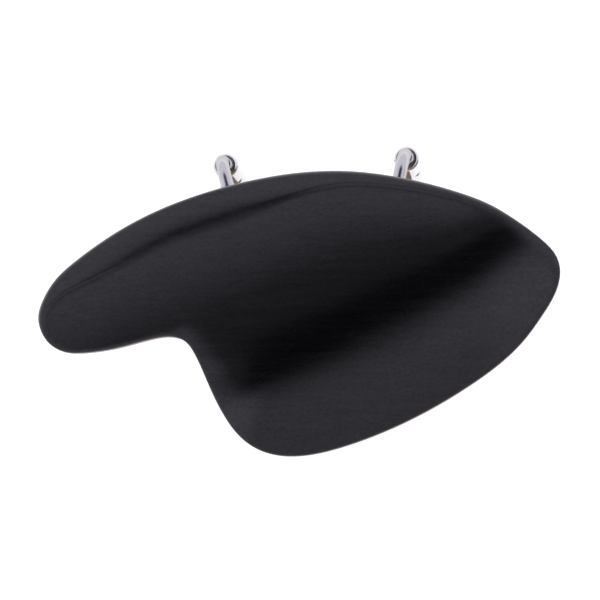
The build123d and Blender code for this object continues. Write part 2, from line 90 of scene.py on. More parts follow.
SCREW_AT = (13.6, 18.8)    # screw positions, distance inward
SCREW_HEAD_R = 2.2
SCREW_HEAD_H = 1.3
SCREW_HOLE_R = 1.35        # clearance hole in the tab

# barrel (turnbuckle)
BARREL_R = 3.1
BARREL_TOP_Z = -2.0
BARREL_LEN = 24.0
BARREL_BORE_R = 1.80
BARREL_FLAT_R = 2.5        # flat annulus at each end, then a chamfer
BARREL_CHAMFER_H = 0.6
KEY_HOLE_R = 0.9
KEY_HOLE_Z = BARREL_TOP_Z - BARREL_LEN / 2
DIAGONAL = 0.70711         # both parts of a key hole's direction

# corks
CORK_T = 2.0
FOOT_CORK_W = FOOT.tab_width + 0.6
FOOT_CORK_CORNER_R = 1.5
CORK_EDGE_R = 0.25
CORK_END_R = 0.3           # edges beside the bracket gaps

# heel block, as distances in front of the plate's back edge
HEEL_BOTTOM_Z = CORK_T
HEEL_HALF_LEN = 33.0
HEEL_TAPER = 3.0           # half length lost from back to front
HEEL_SIDE_INSET = 0.3
HEEL_BACK_INSET = 1.6
HEEL_DEPTH = 17.0
HEEL_CORNER_R = 4.6
HEEL_EDGE_R = 0.35
COVE, COVE_GAIN = 1.6, 7.4          # reach of the cove at the rim, more inside
COVE_FROM, COVE_TO = 3.0, 13.0      # distances inside the rim of that gain

# pockets for the bracket tabs
POCKET_W = BRACKET.tab_width + 1.6
POCKET_END = BRACKET.tab_far + 0.7
POCKET_EDGE_R = 0.3

# plate
EDGE_T = 4.2               # thickness at the rim
MIN_T = 3.6                # least thickness
INNER_T = 6.4              # usual thickness
UNDER_EDGE_R = 1.7
TOP_EDGE_R, TOP_EDGE_GAIN = 0.42, 0.85   # the top edge is rounder at steep bands

# plate outline (x, y), counter-clockwise from the back edge, seen from above
OUTLINE = [
    (-23.36, -10.59), (-31.51, -13.26), (-39.26, -16.55), (-46.55, -20.48), (-53.31, -25.07),
    (-58.10, -29.24), (-61.70, -34.75), (-62.74, -38.31), (-62.09, -41.73), (-60.09, -44.61),
    (-57.30, -46.13), (-52.47, -46.47), (-44.54, -45.41), (-36.77, -43.59), (-32.14, -43.30),
    (-29.66, -44.26), (-27.78, -46.80), (-24.80, -54.10), (-21.34, -61.35), (-17.69, -66.34),
    (-13.49, -69.59), (-8.58, -71.27), (-2.48, -71.53), (4.65, -70.29), (12.72, -67.86),
    (20.65, -64.73), (28.41, -60.96), (35.96, -56.60), (42.74, -51.95), (48.18, -47.03),
    (52.91, -40.98), (56.23, -35.31), (57.12, -31.07), (56.43, -27.61), (53.50, -23.67),
    (47.87, -18.85), (41.68, -14.84), (34.81, -12.04), (26.47, -9.57), (18.14, -7.76),
    (9.88, -6.72), (1.67, -6.51), (-6.65, -7.13), (-15.01, -8.51),
]
RIM_COUNT = 900            # points on the dense rim
RIM_SKIP = 10              # every so many of them are tried first
RIM_REACH = 16             # then this many on each side of the nearest
RIM_BLUR = 27              # rim points the edge bands are smoothed over

# top of the plate: a slanting trough between a crest along the back edge and
# a rise along the front edge
TILT_X, TILT_Y = -0.050, 0.085      # slope of the trough's floor
FLOOR_X, FLOOR_Y, FLOOR_HEIGHT = 10.0, -38.5, 17.5   # a point on that floor
TROUGH_Y, TROUGH_SLOPE = -43.25, 0.476   # the trough line, y = a + b x
BACK_RISE = 0.414                   # slope reached at the crest
FRONT_RISE = 0.31                   # slope reached at the front edge
FRONT_RUN, FRONT_RUN_GAIN = 11.2, 11.5   # from the trough line to that slope
FRONT_RUN_X = (-30, 45)             # the run grows between these
FRONT_CURVE = 0.028                 # greatest curvature it starts with
FRONT_EASE = 0.02                   # the slope eases off at the right end
FRONT_EASE_X = (10, 50)             # between these
END_X, END_SOFT, END_SLOPE = 42.0, 3.0, 0.17   # the floor turns up at the right end
# x, and the distance in y from the trough line to the crest there
CREST_X = [-70, -62, -48, -41, -34, -27, -20, -10.7, -3.7, 3.2, 12.4, 21.5,
           30.6, 38, 46, 54, 62, 70]
CREST_DISTANCE = [40.2, 39.6, 38.7, 38.3, 37.7, 36.8, 35.6, 33.9, 32.4, 30.4, 26.4,
                  21.2, 15.6, 11.6, 8.6, 7.2, 6.5, 6.2]
# bevelled band between the crest and the rim, at points round the outline:
# (x, y, width, slope it takes off the base at the crest, further slope it
# takes off by the rim, roundness of the crest)
EDGE_BANDS = [
    (11.0, -6.8, 3.2, 0.78, 0.10, 0.26), (3.5, -6.6, 4.3, 0.74, 0.18, 0.28),
    (-3.5, -7.0, 5.6, 0.68, 0.26, 0.36),
    (-12.0, -8.0, 7.3, 0.58, 0.38, 0.50), (-22.0, -10.1, 8.2, 0.54, 0.42, 0.58),
    (-35.0, -14.9, 7.8, 0.56, 0.40, 0.42), (-48.0, -21.4, 7.6, 0.60, 0.32, 0.34),
    (-55.0, -26.4, 6.0, 0.66, 0.24, 0.28), (-60.3, -32.0, 3.6, 0.68, 0.10, 0.28),
    (-62.7, -38.3, 1.5, 0.60, 0.10, 0.25), (-60.1, -44.6, 0.6, 0.40, 0.00, 0.20),
    (-55.0, -46.4, 0.2, 0.00, 0.00, 0.30), (-40.0, -44.4, 0.2, 0.00, 0.00, 0.30),
    (-32.1, -43.3, 0.4, 0.25, 0.00, 0.30), (-27.8, -46.8, 4.5, 0.14, 0.05, 1.80),
    (-24.8, -54.1, 8.2, 0.21, 0.08, 2.60), (-21.3, -61.4, 7.0, 0.18, 0.06, 2.40),
    (-17.7, -66.3, 3.0, 0.13, 0.00, 1.40), (-13.5, -69.6, 0.3, 0.00, 0.00, 0.40),
    (0.0, -71.2, 0.2, 0.00, 0.00, 0.30), (20.6, -64.7, 0.2, 0.00, 0.00, 0.30),
    (43.0, -51.7, 0.2, 0.00, 0.00, 0.30), (52.9, -41.0, 0.2, 0.00, 0.00, 0.30),
    (56.2, -35.3, 0.4, 0.30, 0.00, 0.25), (57.1, -31.1, 1.1, 0.34, 0.00, 0.35),
    (56.4, -27.6, 1.9, 0.38, 0.00, 0.50), (53.5, -23.7, 2.4, 0.44, 0.00, 0.55),
    (47.9, -18.9, 1.8, 0.50, 0.05, 0.45), (41.7, -14.8, 1.5, 0.60, 0.10, 0.30),
    (34.8, -12.0, 1.8, 0.70, 0.10, 0.28), (26.5, -9.6, 2.3, 0.76, 0.10, 0.26),
    (18.1, -7.8, 2.9, 0.78, 0.10, 0.26),
]

# mesh fineness
PLATE_STEP = 0.46
CORK_STEP = 0.28
ROD_COUNT = 40
THREAD_STEP = 0.075
BARREL_COUNT = 96


# ------------------------------------------------------------ curves and steps
def natural_spline(xs, ys):
    """Natural cubic spline through (xs, ys), held constant outside."""
    xs = np.asarray(xs, float)
    ys = np.asarray(ys, float)
    count = len(xs)
    gap = np.diff(xs)
    matrix = np.eye(count)
    rhs = np.zeros(count)
    for i in range(1, count - 1):
        matrix[i, i - 1:i + 2] = gap[i - 1], 2 * (gap[i - 1] + gap[i]), gap[i]
        rhs[i] = 6 * ((ys[i + 1] - ys[i]) / gap[i] - (ys[i] - ys[i - 1]) / gap[i - 1])
    bend = np.linalg.solve(matrix, rhs)

    def spline(x):
        x = np.clip(np.asarray(x, float), xs[0], xs[-1])
        i = np.clip(np.searchsorted(xs, x) - 1, 0, count - 2)
        left = (xs[i + 1] - x) / gap[i]
        right = (x - xs[i]) / gap[i]
        return (left * ys[i] + right * ys[i + 1]
                + ((left**3 - left) * bend[i] + (right**3 - right) * bend[i + 1])
                * gap[i]**2 / 6)
    return spline


def closed_curve(points, count):
    """Dense closed polyline along the periodic cubic spline of the points."""
    points = np.asarray(points, float)
    size = len(points)
    gap = np.hypot(*(np.roll(points, -1, axis=0) - points).T)
    matrix = np.zeros((size, size))
    rhs = np.zeros((size, 2))
    for i in range(size):
        j, k = (i - 1) % size, (i + 1) % size
        matrix[i, j] += gap[j]
        matrix[i, i] += 2 * (gap[j] + gap[i])
        matrix[i, k] += gap[i]
        rhs[i] = 6 * ((points[k] - points[i]) / gap[i] - (points[i] - points[j]) / gap[j])
    bend = np.linalg.solve(matrix, rhs)
    knots = np.r_[0, np.cumsum(gap)]
    at = np.linspace(0, knots[-1], count, endpoint=False)
    i = np.clip(np.searchsorted(knots, at, side="right") - 1, 0, size - 1)
    k = (i + 1) % size
    left = ((knots[i + 1] - at) / gap[i])[:, None]
    right = ((at - knots[i]) / gap[i])[:, None]
    return (left * points[i] + right * points[k]
            + ((left**3 - left) * bend[i] + (right**3 - right) * bend[k])
            * (gap[i]**2)[:, None] / 6)


def smoothstep(start, end, value):
    t = np.clip((value - start) / (end - start), 0, 1)
    return t * t * (3 - 2 * t)


def softplus(value, soft):
    value = value / soft
    return soft * (np.maximum(value, 0) + np.log1p(np.exp(-np.abs(value))))


def bell(value, width):
    return np.exp(-(value / width)**2)


def round_max(first, second, radius):
    """Intersection of two solids with its edge rounded."""
    return (np.minimum(np.maximum(first, second), -radius)
            + np.hypot(np.maximum(first + radius, 0), np.maximum(second + radius, 0)))


def smooth_min(first, second, reach):
    """Union of two solids with a cove between them."""
    near = np.maximum(reach - np.abs(first - second), 0) / reach
    return np.minimum(first, second) - near * near * reach * 0.25


# ------------------------------------------------------------ plate surfaces
crest_distance = natural_spline(CREST_X, CREST_DISTANCE)
RIM = closed_curve(OUTLINE, RIM_COUNT)


def edge_distance(x, y):
    """Distance inside the outline, negative outside, and where along the rim
    the nearest point lies, counted in rim points."""
    x, y = np.ravel(x), np.ravel(y)
    coarse = RIM[::RIM_SKIP]
    near = np.empty(len(x), int)
    for first in range(0, len(x), 20000):     # in blocks, to save memory
        block = slice(first, first + 20000)
        apart = (x[block, None] - coarse[:, 0])**2 + (y[block, None] - coarse[:, 1])**2
        near[block] = apart.argmin(1) * RIM_SKIP
    edge = np.roll(RIM, -1, axis=0) - RIM
    length2 = (edge**2).sum(1)
    best = np.full(len(x), 1e9)
    index = np.zeros(len(x))
    sign = np.ones(len(x))
    for offset in range(-RIM_REACH, RIM_REACH):
        j = (near + offset) % len(RIM)
        from_x, from_y = x - RIM[j, 0], y - RIM[j, 1]
        t = np.clip((from_x * edge[j, 0] + from_y * edge[j, 1]) / length2[j], 0, 1)
        apart = np.hypot(from_x - t * edge[j, 0], from_y - t * edge[j, 1])
        closer = apart < best
        best = np.where(closer, apart, best)
        index = np.where(closer, (j + t) % len(RIM), index)
        # the rim runs counter-clockwise, so the inside is on its left
        cross = edge[j, 0] * from_y - edge[j, 1] * from_x
        sign = np.where(closer, np.sign(cross), sign)
    return best * np.where(sign == 0, 1, sign), index


def rim_bands():
    """The edge bands' four values at each rim point, smoothed round the rim."""
    table = np.array(EDGE_BANDS)
    at = np.array([np.hypot(RIM[:, 0] - x, RIM[:, 1] - y).argmin() for x, y in table[:, :2]])
    order = np.argsort(at)
    at, table = at[order], table[order]
    count = len(RIM)
    half = RIM_BLUR // 2
    kernel = np.hanning(RIM_BLUR)
    kernel /= kernel.sum()
    kernel = np.fft.fft(np.r_[kernel[half:], np.zeros(count - RIM_BLUR), kernel[:half]])
    bands = []
    for column in range(2, 6):
        values = np.interp(np.arange(count), np.r_[at - count, at, at + count],
                           np.tile(table[:, column], 3))
        bands.append(np.real(np.fft.ifft(np.fft.fft(values) * kernel)))
    return bands


RIM_BAND, RIM_DROP, RIM_MORE, RIM_SOFT = rim_bands()


def along_rim(values, index):
    j = np.floor(index).astype(int)
    t = index - j
    return values[j % len(values)] * (1 - t) + values[(j + 1) % len(values)] * t


def base_height(x, y):
    """Top of the plate without its edge band."""
    cosine = 1 / math.sqrt(1 + TROUGH_SLOPE**2)
    ahead = -(y - (TROUGH_Y + TROUGH_SLOPE * x)) * cosine   # in front of the trough
    back_curve = BACK_RISE / (np.maximum(crest_distance(x), 5) * cosine)
    front_curve = back_curve / (1 + (back_curve / FRONT_CURVE)**4)**0.25
    run = FRONT_RUN + FRONT_RUN_GAIN * smoothstep(*FRONT_RUN_X, x)
    rise = FRONT_RISE - FRONT_EASE * smoothstep(*FRONT_EASE_X, x)
    t = np.clip(ahead / run, 0, 1)
    # the front starts with a curvature that fades out as the slope builds up
    curved = run**2 * (t**2 / 2 - 3 * t**4 / 4 + 2 * t**5 / 5)
    sloped = run * (t**3 - t**4 / 2) + np.maximum(ahead - run, 0)
    profile = np.where(ahead < 0, back_curve * ahead * ahead / 2,
                       front_curve * curved + rise * sloped)
    return (FLOOR_HEIGHT + TILT_X * (x - FLOOR_X) + TILT_Y * (y - FLOOR_Y) + profile
            + END_SLOPE * softplus(x - END_X, END_SOFT))


def top_height(x, y, inside, index):
    width = along_rim(RIM_BAND, index)
    past = softplus(width - inside, along_rim(RIM_SOFT, index))
    return (base_height(x, y) - along_rim(RIM_DROP, index) * past
            - along_rim(RIM_MORE, index) * past * past / (2 * np.maximum(width, 1)))


def bottom_terms(x, y):
    """Terms of a quintic over the plate, scaled to about -1..1."""
    u, v = np.asarray(x) / 60, (np.asarray(y) + 38) / 33
    return [u**p * v**q for p in range(6) for q in range(6 - p)]


def bottom_fit():
    """The underside: a smooth quintic that leaves EDGE_T at the rim and
    about INNER_T inside, without the crest and the trough of the top."""
    rim_weight, inner_weight = 3.0, 0.6
    rim_x, rim_y = RIM[::3].T
    rim_z = top_height(rim_x, rim_y, np.zeros(len(rim_x)), np.arange(0, len(RIM), 3)) - EDGE_T
    x, y = [g.ravel() for g in np.meshgrid(np.arange(-60.0, 58, 4), np.arange(-70.0, -6, 4))]
    inside, index = edge_distance(x, y)
    keep = inside > 5
    x, y = x[keep], y[keep]
    z = top_height(x, y, inside[keep], index[keep]) - INNER_T
    weight = np.r_[np.full(len(rim_x), rim_weight), np.full(len(x), inner_weight)]
    terms = np.stack(bottom_terms(np.r_[rim_x, x], np.r_[rim_y, y]), 1)
    return np.linalg.lstsq(terms * weight[:, None], np.r_[rim_z, z] * weight, rcond=None)[0]


BOTTOM_FIT = bottom_fit()


def bottom_height(x, y, top):
    """The fitted underside, kept MIN_T below the top by a smooth minimum."""
    z = sum(factor * term for factor, term in zip(BOTTOM_FIT, bottom_terms(x, y)))
    cap = top - MIN_T
    reach = 1.5
    t = np.clip(0.5 + 0.5 * (cap - z) / reach, 0, 1)
    return cap * (1 - t) + z * t - reach * t * (1 - t)


# ------------------------------------------------------------ implicit solids
# Each gives a distance that is negative inside the solid.
def post_frame(side):
    """The post's x, and the inward direction in plan."""
    angle = math.radians(SPLAY_DEG)
    return side * POST_SPACING / 2, (-side * math.sin(angle), -math.cos(angle))


def arm_coords(side, x, y):
    """Distance inward of the post axis along the arm, and across it."""
    post_x, (in_x, in_y) = post_frame(side)
    from_post = x - post_x
    return from_post * in_x + y * in_y, -from_post * in_y + y * in_x


def back_distance(x, y):
    """Distance in front of the plate's back edge alone."""
    shape = np.shape(x)
    x, y = np.ravel(x), np.ravel(y)
    back = RIM[(RIM[:, 1] > -24) & (RIM[:, 0] > -52) & (RIM[:, 0] < 52)]
    back = back[np.argsort(back[:, 0])]
    start = back[:-1]
    edge = back[1:] - start
    length2 = (edge**2).sum(1)
    out = np.empty(len(x))
    for first in range(0, len(x), 8000):      # in blocks, to save memory
        block = slice(first, first + 8000)
        from_x, from_y = x[block, None] - start[:, 0], y[block, None] - start[:, 1]
        t = np.clip((from_x * edge[:, 0] + from_y * edge[:, 1]) / length2, 0, 1)
        off_x, off_y = from_x - t * edge[:, 0], from_y - t * edge[:, 1]
        apart = np.hypot(off_x, off_y)
        i = apart.argmin(1)
        row = np.arange(len(i))
        behind = off_x[row, i] * -edge[i, 1] + off_y[row, i] * edge[i, 0] > 0
        out[block] = apart[row, i] * np.where(behind, -1, 1)
    return out.reshape(shape)


def slope_factor(height, step):
    """Turns a vertical distance to the surface into a nearly true one."""
    slope_x, slope_y = np.gradient(height, step)
    return 1 / np.sqrt(1 + np.minimum(slope_x**2 + slope_y**2, 4))


def cubic_weights(t):
    return [-0.5 * t + t**2 - 0.5 * t**3, 1 - 2.5 * t**2 + 1.5 * t**3,
            0.5 * t + 2 * t**2 - 1.5 * t**3, -0.5 * t**2 + 0.5 * t**3]


class PlanFields:
    """Plate fields on a fine grid in plan, with bicubic lookup."""

    def __init__(self, x_range, y_range, step):
        self.step = step
        self.xs = np.arange(x_range[0], x_range[1] + step / 2, step)
        self.ys = np.arange(y_range[0], y_range[1] + step / 2, step)
        x, y = np.meshgrid(self.xs, self.ys, indexing="ij")
        inside, index = edge_distance(x, y)
        inside, index = inside.reshape(x.shape), index.reshape(x.shape)
        top = top_height(x, y, np.maximum(inside, -1.6), index)
        bottom = bottom_height(x, y, top)
        band = along_rim(RIM_BAND, index)
        self.grids = {
            "inside": inside, "top": top, "bottom": bottom, "back": back_distance(x, y),
            "top_factor": slope_factor(top, step),
            "bottom_factor": slope_factor(bottom, step),
            "drop": along_rim(RIM_DROP, index), "past_crest": band - inside,
            "band": band, "soft": along_rim(RIM_SOFT, index)}

    def at(self, x, y):
        u = np.clip((x - self.xs[0]) / self.step, 1, len(self.xs) - 3.001)
        v = np.clip((y - self.ys[0]) / self.step, 1, len(self.ys) - 3.001)
        i, j = u.astype(int), v.astype(int)
        weights_x, weights_y = cubic_weights(u - i), cubic_weights(v - j)
        out = {}
        for name, grid in self.grids.items():
            total = 0
            for a in range(4):
                for b in range(4):
                    total = total + weights_x[a] * weights_y[b] * grid[i + a - 1, j + b - 1]
            out[name] = total
        return out


def heel_distance(x, back):
    """The heel block in plan."""
    t = (back - HEEL_BACK_INSET) / HEEL_DEPTH
    depth = np.maximum(HEEL_BACK_INSET - back, back - HEEL_BACK_INSET - HEEL_DEPTH)
    half_len = HEEL_HALF_LEN - HEEL_TAPER * np.clip(t, -0.2, 1.2)
    return round_max(depth, np.abs(x) - half_len + HEEL_SIDE_INSET, HEEL_CORNER_R)


def pocket_distance(side, x, y, z):
    along, across = arm_coords(side, x, y)
    plan = np.maximum(along - POCKET_END, np.abs(across) - POCKET_W / 2)
    return np.maximum(plan, z - BRACKET.tab_top)


def plate_solid(plan, x, y, z):
    """The plate with its heel block and pockets; plan holds the fields."""
    outside = -plan["inside"]
    above = (z - plan["top"]) * plan["top_factor"]
    below = (plan["bottom"] - z) * plan["bottom_factor"]
    body = round_max(below, outside, UNDER_EDGE_R)
    # the heel spreads into the plate's underside through a long cove
    cove = COVE + COVE_GAIN * smoothstep(COVE_FROM, COVE_TO, plan["inside"])
    heel = round_max(heel_distance(x, plan["back"]), HEEL_BOTTOM_Z - z, HEEL_EDGE_R)
    body = smooth_min(body, heel, cove)
    body = np.maximum(body, outside)
    edge_r = TOP_EDGE_R + TOP_EDGE_GAIN * smoothstep(0.40, 0.62, plan["drop"])
    body = round_max(body, above, edge_r)
    pockets = np.minimum(pocket_distance(-1, x, y, z), pocket_distance(1, x, y, z))
    return round_max(body, -pockets, POCKET_EDGE_R)


# -------------------------------------------------------------------- meshing
CUBE_CORNERS = [(n & 1, (n >> 1) & 1, (n >> 2) & 1) for n in range(8)]


def surface_net(grid, axes):
    """Closed quad mesh round the cells where the grid changes sign."""
    size_x, size_y, size_z = grid.shape
    inside = grid < 0
    cells = np.zeros((size_x - 1, size_y - 1, size_z - 1, 3))
    count = np.zeros(cells.shape[:3])

    def at_corner(values, corner):
        i, j, k = corner
        return values[i:size_x - 1 + i, j:size_y - 1 + j, k:size_z - 1 + k]

    for start, end in combinations(CUBE_CORNERS, 2):
        if sum(abs(p - q) for p, q in zip(start, end)) != 1:
            continue
        value_start, value_end = at_corner(grid, start), at_corner(grid, end)
        crossed = at_corner(inside, start) != at_corner(inside, end)
        t = np.where(crossed, value_start / np.where(crossed, value_start - value_end, 1), 0)
        for k in range(3):
            cells[..., k] += np.where(crossed, start[k] + t * (end[k] - start[k]), 0)
        count += crossed
    live = count > 0
    index = -np.ones(live.shape, int)
    index[live] = np.arange(live.sum())
    local = cells[live] / count[live][:, None]
    step = np.array([axis[1] - axis[0] for axis in axes])
    verts = np.array([axis[0] for axis in axes]) + (np.argwhere(live) + local) * step
    faces = []
    for axis in range(3):
        before = [slice(1, -1)] * 3
        after = [slice(1, -1)] * 3
        before[axis] = slice(0, -1)
        after[axis] = slice(1, None)
        inside_before = inside[tuple(before)]
        edges = np.argwhere(inside_before != inside[tuple(after)])
        leaving = inside_before[tuple(edges.T)]
        offset = np.ones(3, int)
        offset[axis] = 0
        cell = edges + offset
        unit = np.eye(3, dtype=int)
        step_u, step_v = unit[(axis + 1) % 3], unit[(axis + 2) % 3]
        quads = np.stack([index[tuple(c.T)] for c in
                          (cell - step_u - step_v, cell - step_v, cell, cell - step_u)], 1)
        quads[~leaving] = quads[~leaving][:, ::-1]
        faces.append(quads)
    return verts, np.concatenate(faces)


def settle(verts, solid, rounds=4, reach=0.3):
    """Move vertices onto the true surface, and return its unit normals."""
    nudge = 0.02
    for _ in range(rounds):
        value = solid(verts)
        slope = np.stack([(solid(verts + move) - solid(verts - move)) / (2 * nudge)
                          for move in nudge * np.eye(3)], 1)
        length2 = np.maximum((slope**2).sum(1), 0.05)
        verts = verts - np.clip(value / length2, -reach, reach)[:, None] * slope
    return verts, slope / np.maximum(np.linalg.norm(slope, axis=1), 1e-9)[:, None]


def make_mesh(name, verts, faces, normals=None, smooth=True):
    mesh = bpy.data.meshes.new(name)
    mesh.from_pydata((np.asarray(verts) * MM).tolist(), [], [list(map(int, f)) for f in faces])
    mesh.validate()
    mesh.update()
    mesh.polygons.foreach_set("use_smooth", [smooth] * len(mesh.polygons))
    if normals is not None:
        mesh.normals_split_custom_set_from_vertices(normals.tolist())
    ob = bpy.data.objects.new(name, mesh)
    bpy.context.scene.collection.objects.link(ob)
    return ob


def make_solid(name, verts, faces, smooth=True):
    """A mesh object with its faces turned outward."""
    ob = make_mesh(name, verts, faces, smooth=smooth)
    bm = bmesh.new()
    bm.from_mesh(ob.data)
    bmesh.ops.recalc_face_normals(bm, faces=bm.faces)
    bm.to_mesh(ob.data)
    bm.free()
    return ob


def smooth_by_angle(ob, degrees):
    """Smooth shading, with sharp edges above the angle."""
    mesh = ob.data
    mesh.polygons.foreach_set("use_smooth", [True] * len(mesh.polygons))
    bm = bmesh.new()
    bm.from_mesh(mesh)
    limit = math.radians(degrees)
    for edge in bm.edges:
        edge.smooth = not (len(edge.link_faces) == 2 and edge.calc_face_angle(0) > limit)
    bm.to_mesh(mesh)
    bm.free()


def cut(ob, cutters):
    """Subtract (verts, faces) solids from the object."""
    tools = [make_solid(f"cut_{j}", verts, faces, smooth=False)
             for j, (verts, faces) in enumerate(cutters)]
    for tool in tools:
        mod = ob.modifiers.new("cut", "BOOLEAN")
        mod.operation = "DIFFERENCE"
        mod.solver = "EXACT"
        mod.object = tool
    deps = bpy.context.evaluated_depsgraph_get()
    deps.update()
    mesh = bpy.data.meshes.new_from_object(ob.evaluated_get(deps))
    ob.modifiers.clear()
    old = ob.data
    ob.data = mesh
    bpy.data.meshes.remove(old)
    for tool in tools:
        mesh = tool.data
        bpy.data.objects.remove(tool)
        bpy.data.meshes.remove(mesh)


# ---------------------------------------------------------------------- plate
def add_attribute(ob, name, values):
    layer = ob.data.attributes.new(name, "FLOAT", "POINT")
    layer.data.foreach_set("value", values.astype(np.float32))


def add_plate_wear_and_painted_light(ob, plan, z):
    """Vertex values for the polish worn off the crest and the rim, which above 1 also paint a grey
    highlight line there, and for a brown reflection painted along the rim.
    """
    above = smoothstep(1.2, 0.4, plan["top"] - z)       # only near the top
    banded = smoothstep(0.7, 1.4, plan["band"])         # where the rim has a band
    # wear and the painted highlight follow the crest: narrow at steep bands, stronger where it is
    # sharp, and gone where it is very round
    width = 0.55 + 0.9 * smoothstep(0.66, 0.5, plan["drop"])
    crest = bell(plan["past_crest"], width) * above
    crest = (crest * (1 + 0.8 * smoothstep(0.40, 0.24, plan["soft"]))
             * smoothstep(1.1, 0.7, plan["soft"]))
    # without a band, it follows the rim instead
    rim = 1.45 * bell(plan["inside"] - 0.30, 0.42) * above
    add_attribute(ob, "wear_and_painted_highlight", crest * banded + rim * (1 - banded))
    # a brown line painted along the rim where it has no band: a painted warm reflection
    add_attribute(ob, "painted_rim_reflection", bell(np.maximum(plan["inside"], 0), 0.34) * (1 - banded))


def plate_mesh():
    fields = PlanFields(x_range=(-67.0, 61.0), y_range=(-76.0, -2.0), step=0.25)
    xs = np.arange(-65.0, 59.6, PLATE_STEP)
    ys = np.arange(-74.0, -4.0, PLATE_STEP)
    zs = np.arange(0.9, 31.0, PLATE_STEP)
    x, y = np.meshgrid(xs, ys, indexing="ij")
    plan = {name: values.reshape(x.shape)[:, :, None]
            for name, values in fields.at(x.ravel(), y.ravel()).items()}
    grid = plate_solid(plan, xs[:, None, None], ys[None, :, None], zs[None, None, :])
    verts, faces = surface_net(grid, (xs, ys, zs))

    def solid(points):
        x, y, z = points.T
        return plate_solid(fields.at(x, y), x, y, z)
    verts, normals = settle(verts, solid)
    ob = make_mesh("plate_carved", verts, faces, normals)
    add_plate_wear_and_painted_light(ob, fields.at(verts[:, 0], verts[:, 1]), verts[:, 2])
    return ob


# --------------------------------------------------------------------- corks
def value_noise(points, scale, seed):
    """Smooth lattice noise in -1..1, the same every run."""
    scaled = points / scale
    cell = np.floor(scaled).astype(np.int64)
    t = scaled - cell
    t = t * t * (3 - 2 * t)

    def lattice(at):
        n = ((at[:, 0] * 73856093) ^ (at[:, 1] * 19349663) ^ (at[:, 2] * 83492791)
             ^ (seed * 2654435761))
        n = (n ^ (n >> 13)) * 1274126177
        n = n & 0xFFFFFF
        return n / 0x7FFFFF - 1.0
    total = 0
    for corner in CUBE_CORNERS:
        corner = np.array(corner)
        total = total + np.prod(np.where(corner, t, 1 - t), axis=1) * lattice(cell + corner)
    return total


def cork_skin(points, distance, seed):
    """Roughens a solid inward, with a few deeper pits."""
    rough = (value_noise(points, 1.15, seed) * 0.6
             + value_noise(points, 0.55, seed + 9) * 0.4)
    pits = np.maximum(value_noise(points, 0.8, seed + 21) - 0.45, 0)
    return distance + 0.035 * (1 - rough) + 0.22 * pits


def cork_mesh(name, cad_piece, shape, seed):
    """A cork of the given shape, meshed over its CAD piece's box."""
    low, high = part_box(cad_piece)
    axes = [np.arange(low[k] * 1000 - 3 * CORK_STEP, high[k] * 1000 + 3.01 * CORK_STEP, CORK_STEP)
            for k in range(3)]
    x, y, z = np.meshgrid(*axes, indexing="ij")

    def solid(points):
        return cork_skin(points, shape(points), seed)
    grid = solid(np.stack([x.ravel(), y.ravel(), z.ravel()], 1)).reshape(x.shape)
    verts, faces = surface_net(grid, axes)
    verts, normals = settle(verts, solid, rounds=3, reach=0.12)
    return make_mesh(name, verts, faces, normals)


def heel_cork_shape(part):
    """One of three heel corks, parted by the gaps for the two brackets."""
    gap = POCKET_W / 2

    def shape(points):
        x, y, z = points.T
        body = round_max(heel_distance(x, back_distance(x, y)) + 0.08,
                         np.abs(z - CORK_T / 2) - CORK_T / 2, CORK_EDGE_R)
        _, from_left = arm_coords(-1, x, y)
        _, from_right = arm_coords(1, x, y)
        limits = {"left": (from_left + gap,),
                  "middle": (gap - from_left, from_right + gap),
                  "right": (gap - from_right,)}
        for limit in limits[part]:
            body = round_max(body, limit, CORK_END_R)
        return body
    return shape


def foot_cork_shape(side):
    start, end = FOOT.tab_near + 0.6, FOOT.tab_far + 0.3

    def shape(points):
        x, y, z = points.T
        along, across = arm_coords(side, x, y)
        plan = round_max(np.abs(along - (start + end) / 2) - (end - start) / 2,
                         np.abs(across) - FOOT_CORK_W / 2, FOOT_CORK_CORNER_R)
        return round_max(plan, np.abs(z - FOOT.tab_top - CORK_T / 2) - CORK_T / 2, CORK_EDGE_R)
    return shape


# ---------------------------------------------------------------------- rods
def oval_ring(center, right, up, half_width, half_thick, power):
    """A superellipse section; power 2 is an ellipse, higher is squarer."""
    angle = np.linspace(0, 2 * math.pi, ROD_COUNT, endpoint=False)
    cosine, sine = np.cos(angle), np.sin(angle)
    x = np.sign(cosine) * np.abs(cosine) ** (2 / power) * half_width
    y = np.sign(sine) * np.abs(sine) ** (2 / power) * half_thick
    return center + np.outer(x, right) + np.outer(y, up)


def thread_ring(center, right, up, z, spec):
    """One ring of a V thread, fading in from the rod and tapered at its end."""
    angle = np.linspace(0, 2 * math.pi, ROD_COUNT, endpoint=False)
    world = np.outer(np.cos(angle), right) + np.outer(np.sin(angle), up)
    turn = np.arctan2(world[:, 1], world[:, 0])
    phase = (z / THREAD_PITCH - spec.hand * turn / (2 * math.pi)) % 1.0
    # a triangle wave with its root and crest flattened and slightly rounded
    wave = 1 - 2 * np.abs(phase - 0.5)
    wave = np.clip((wave - 0.12) / 0.76, 0, 1)
    wave = wave * 0.65 + 0.35 * wave * wave * (3 - 2 * wave)
    fade = smoothstep(0, THREAD_FADE, abs(z - spec.thread_start))
    radius = THREAD_ROOT_R + (THREAD_CREST_R - THREAD_ROOT_R) * wave
    radius = radius * fade + ROD_R * (1 - fade)
    radius = np.minimum(radius, THREAD_TIP_R + abs(z - spec.thread_end) * THREAD_TIP_SLOPE)
    return center + world * radius[:, None]


def skin_rings(rings):
    """Join rings into a closed tube, with a fan at each end."""
    size = len(rings[0])
    first = len(rings) * size
    last = first + 1
    far = first - size
    faces = []
    for k in range(len(rings) - 1):
        for j in range(size):
            a, b = k * size + j, k * size + (j + 1) % size
            faces.append((a, b, b + size, a + size))
    for j in range(size):
        faces.append((first, (j + 1) % size, j))
        faces.append((last, far + j, far + (j + 1) % size))
    return np.vstack([*rings, rings[0].mean(0), rings[-1].mean(0)]), faces


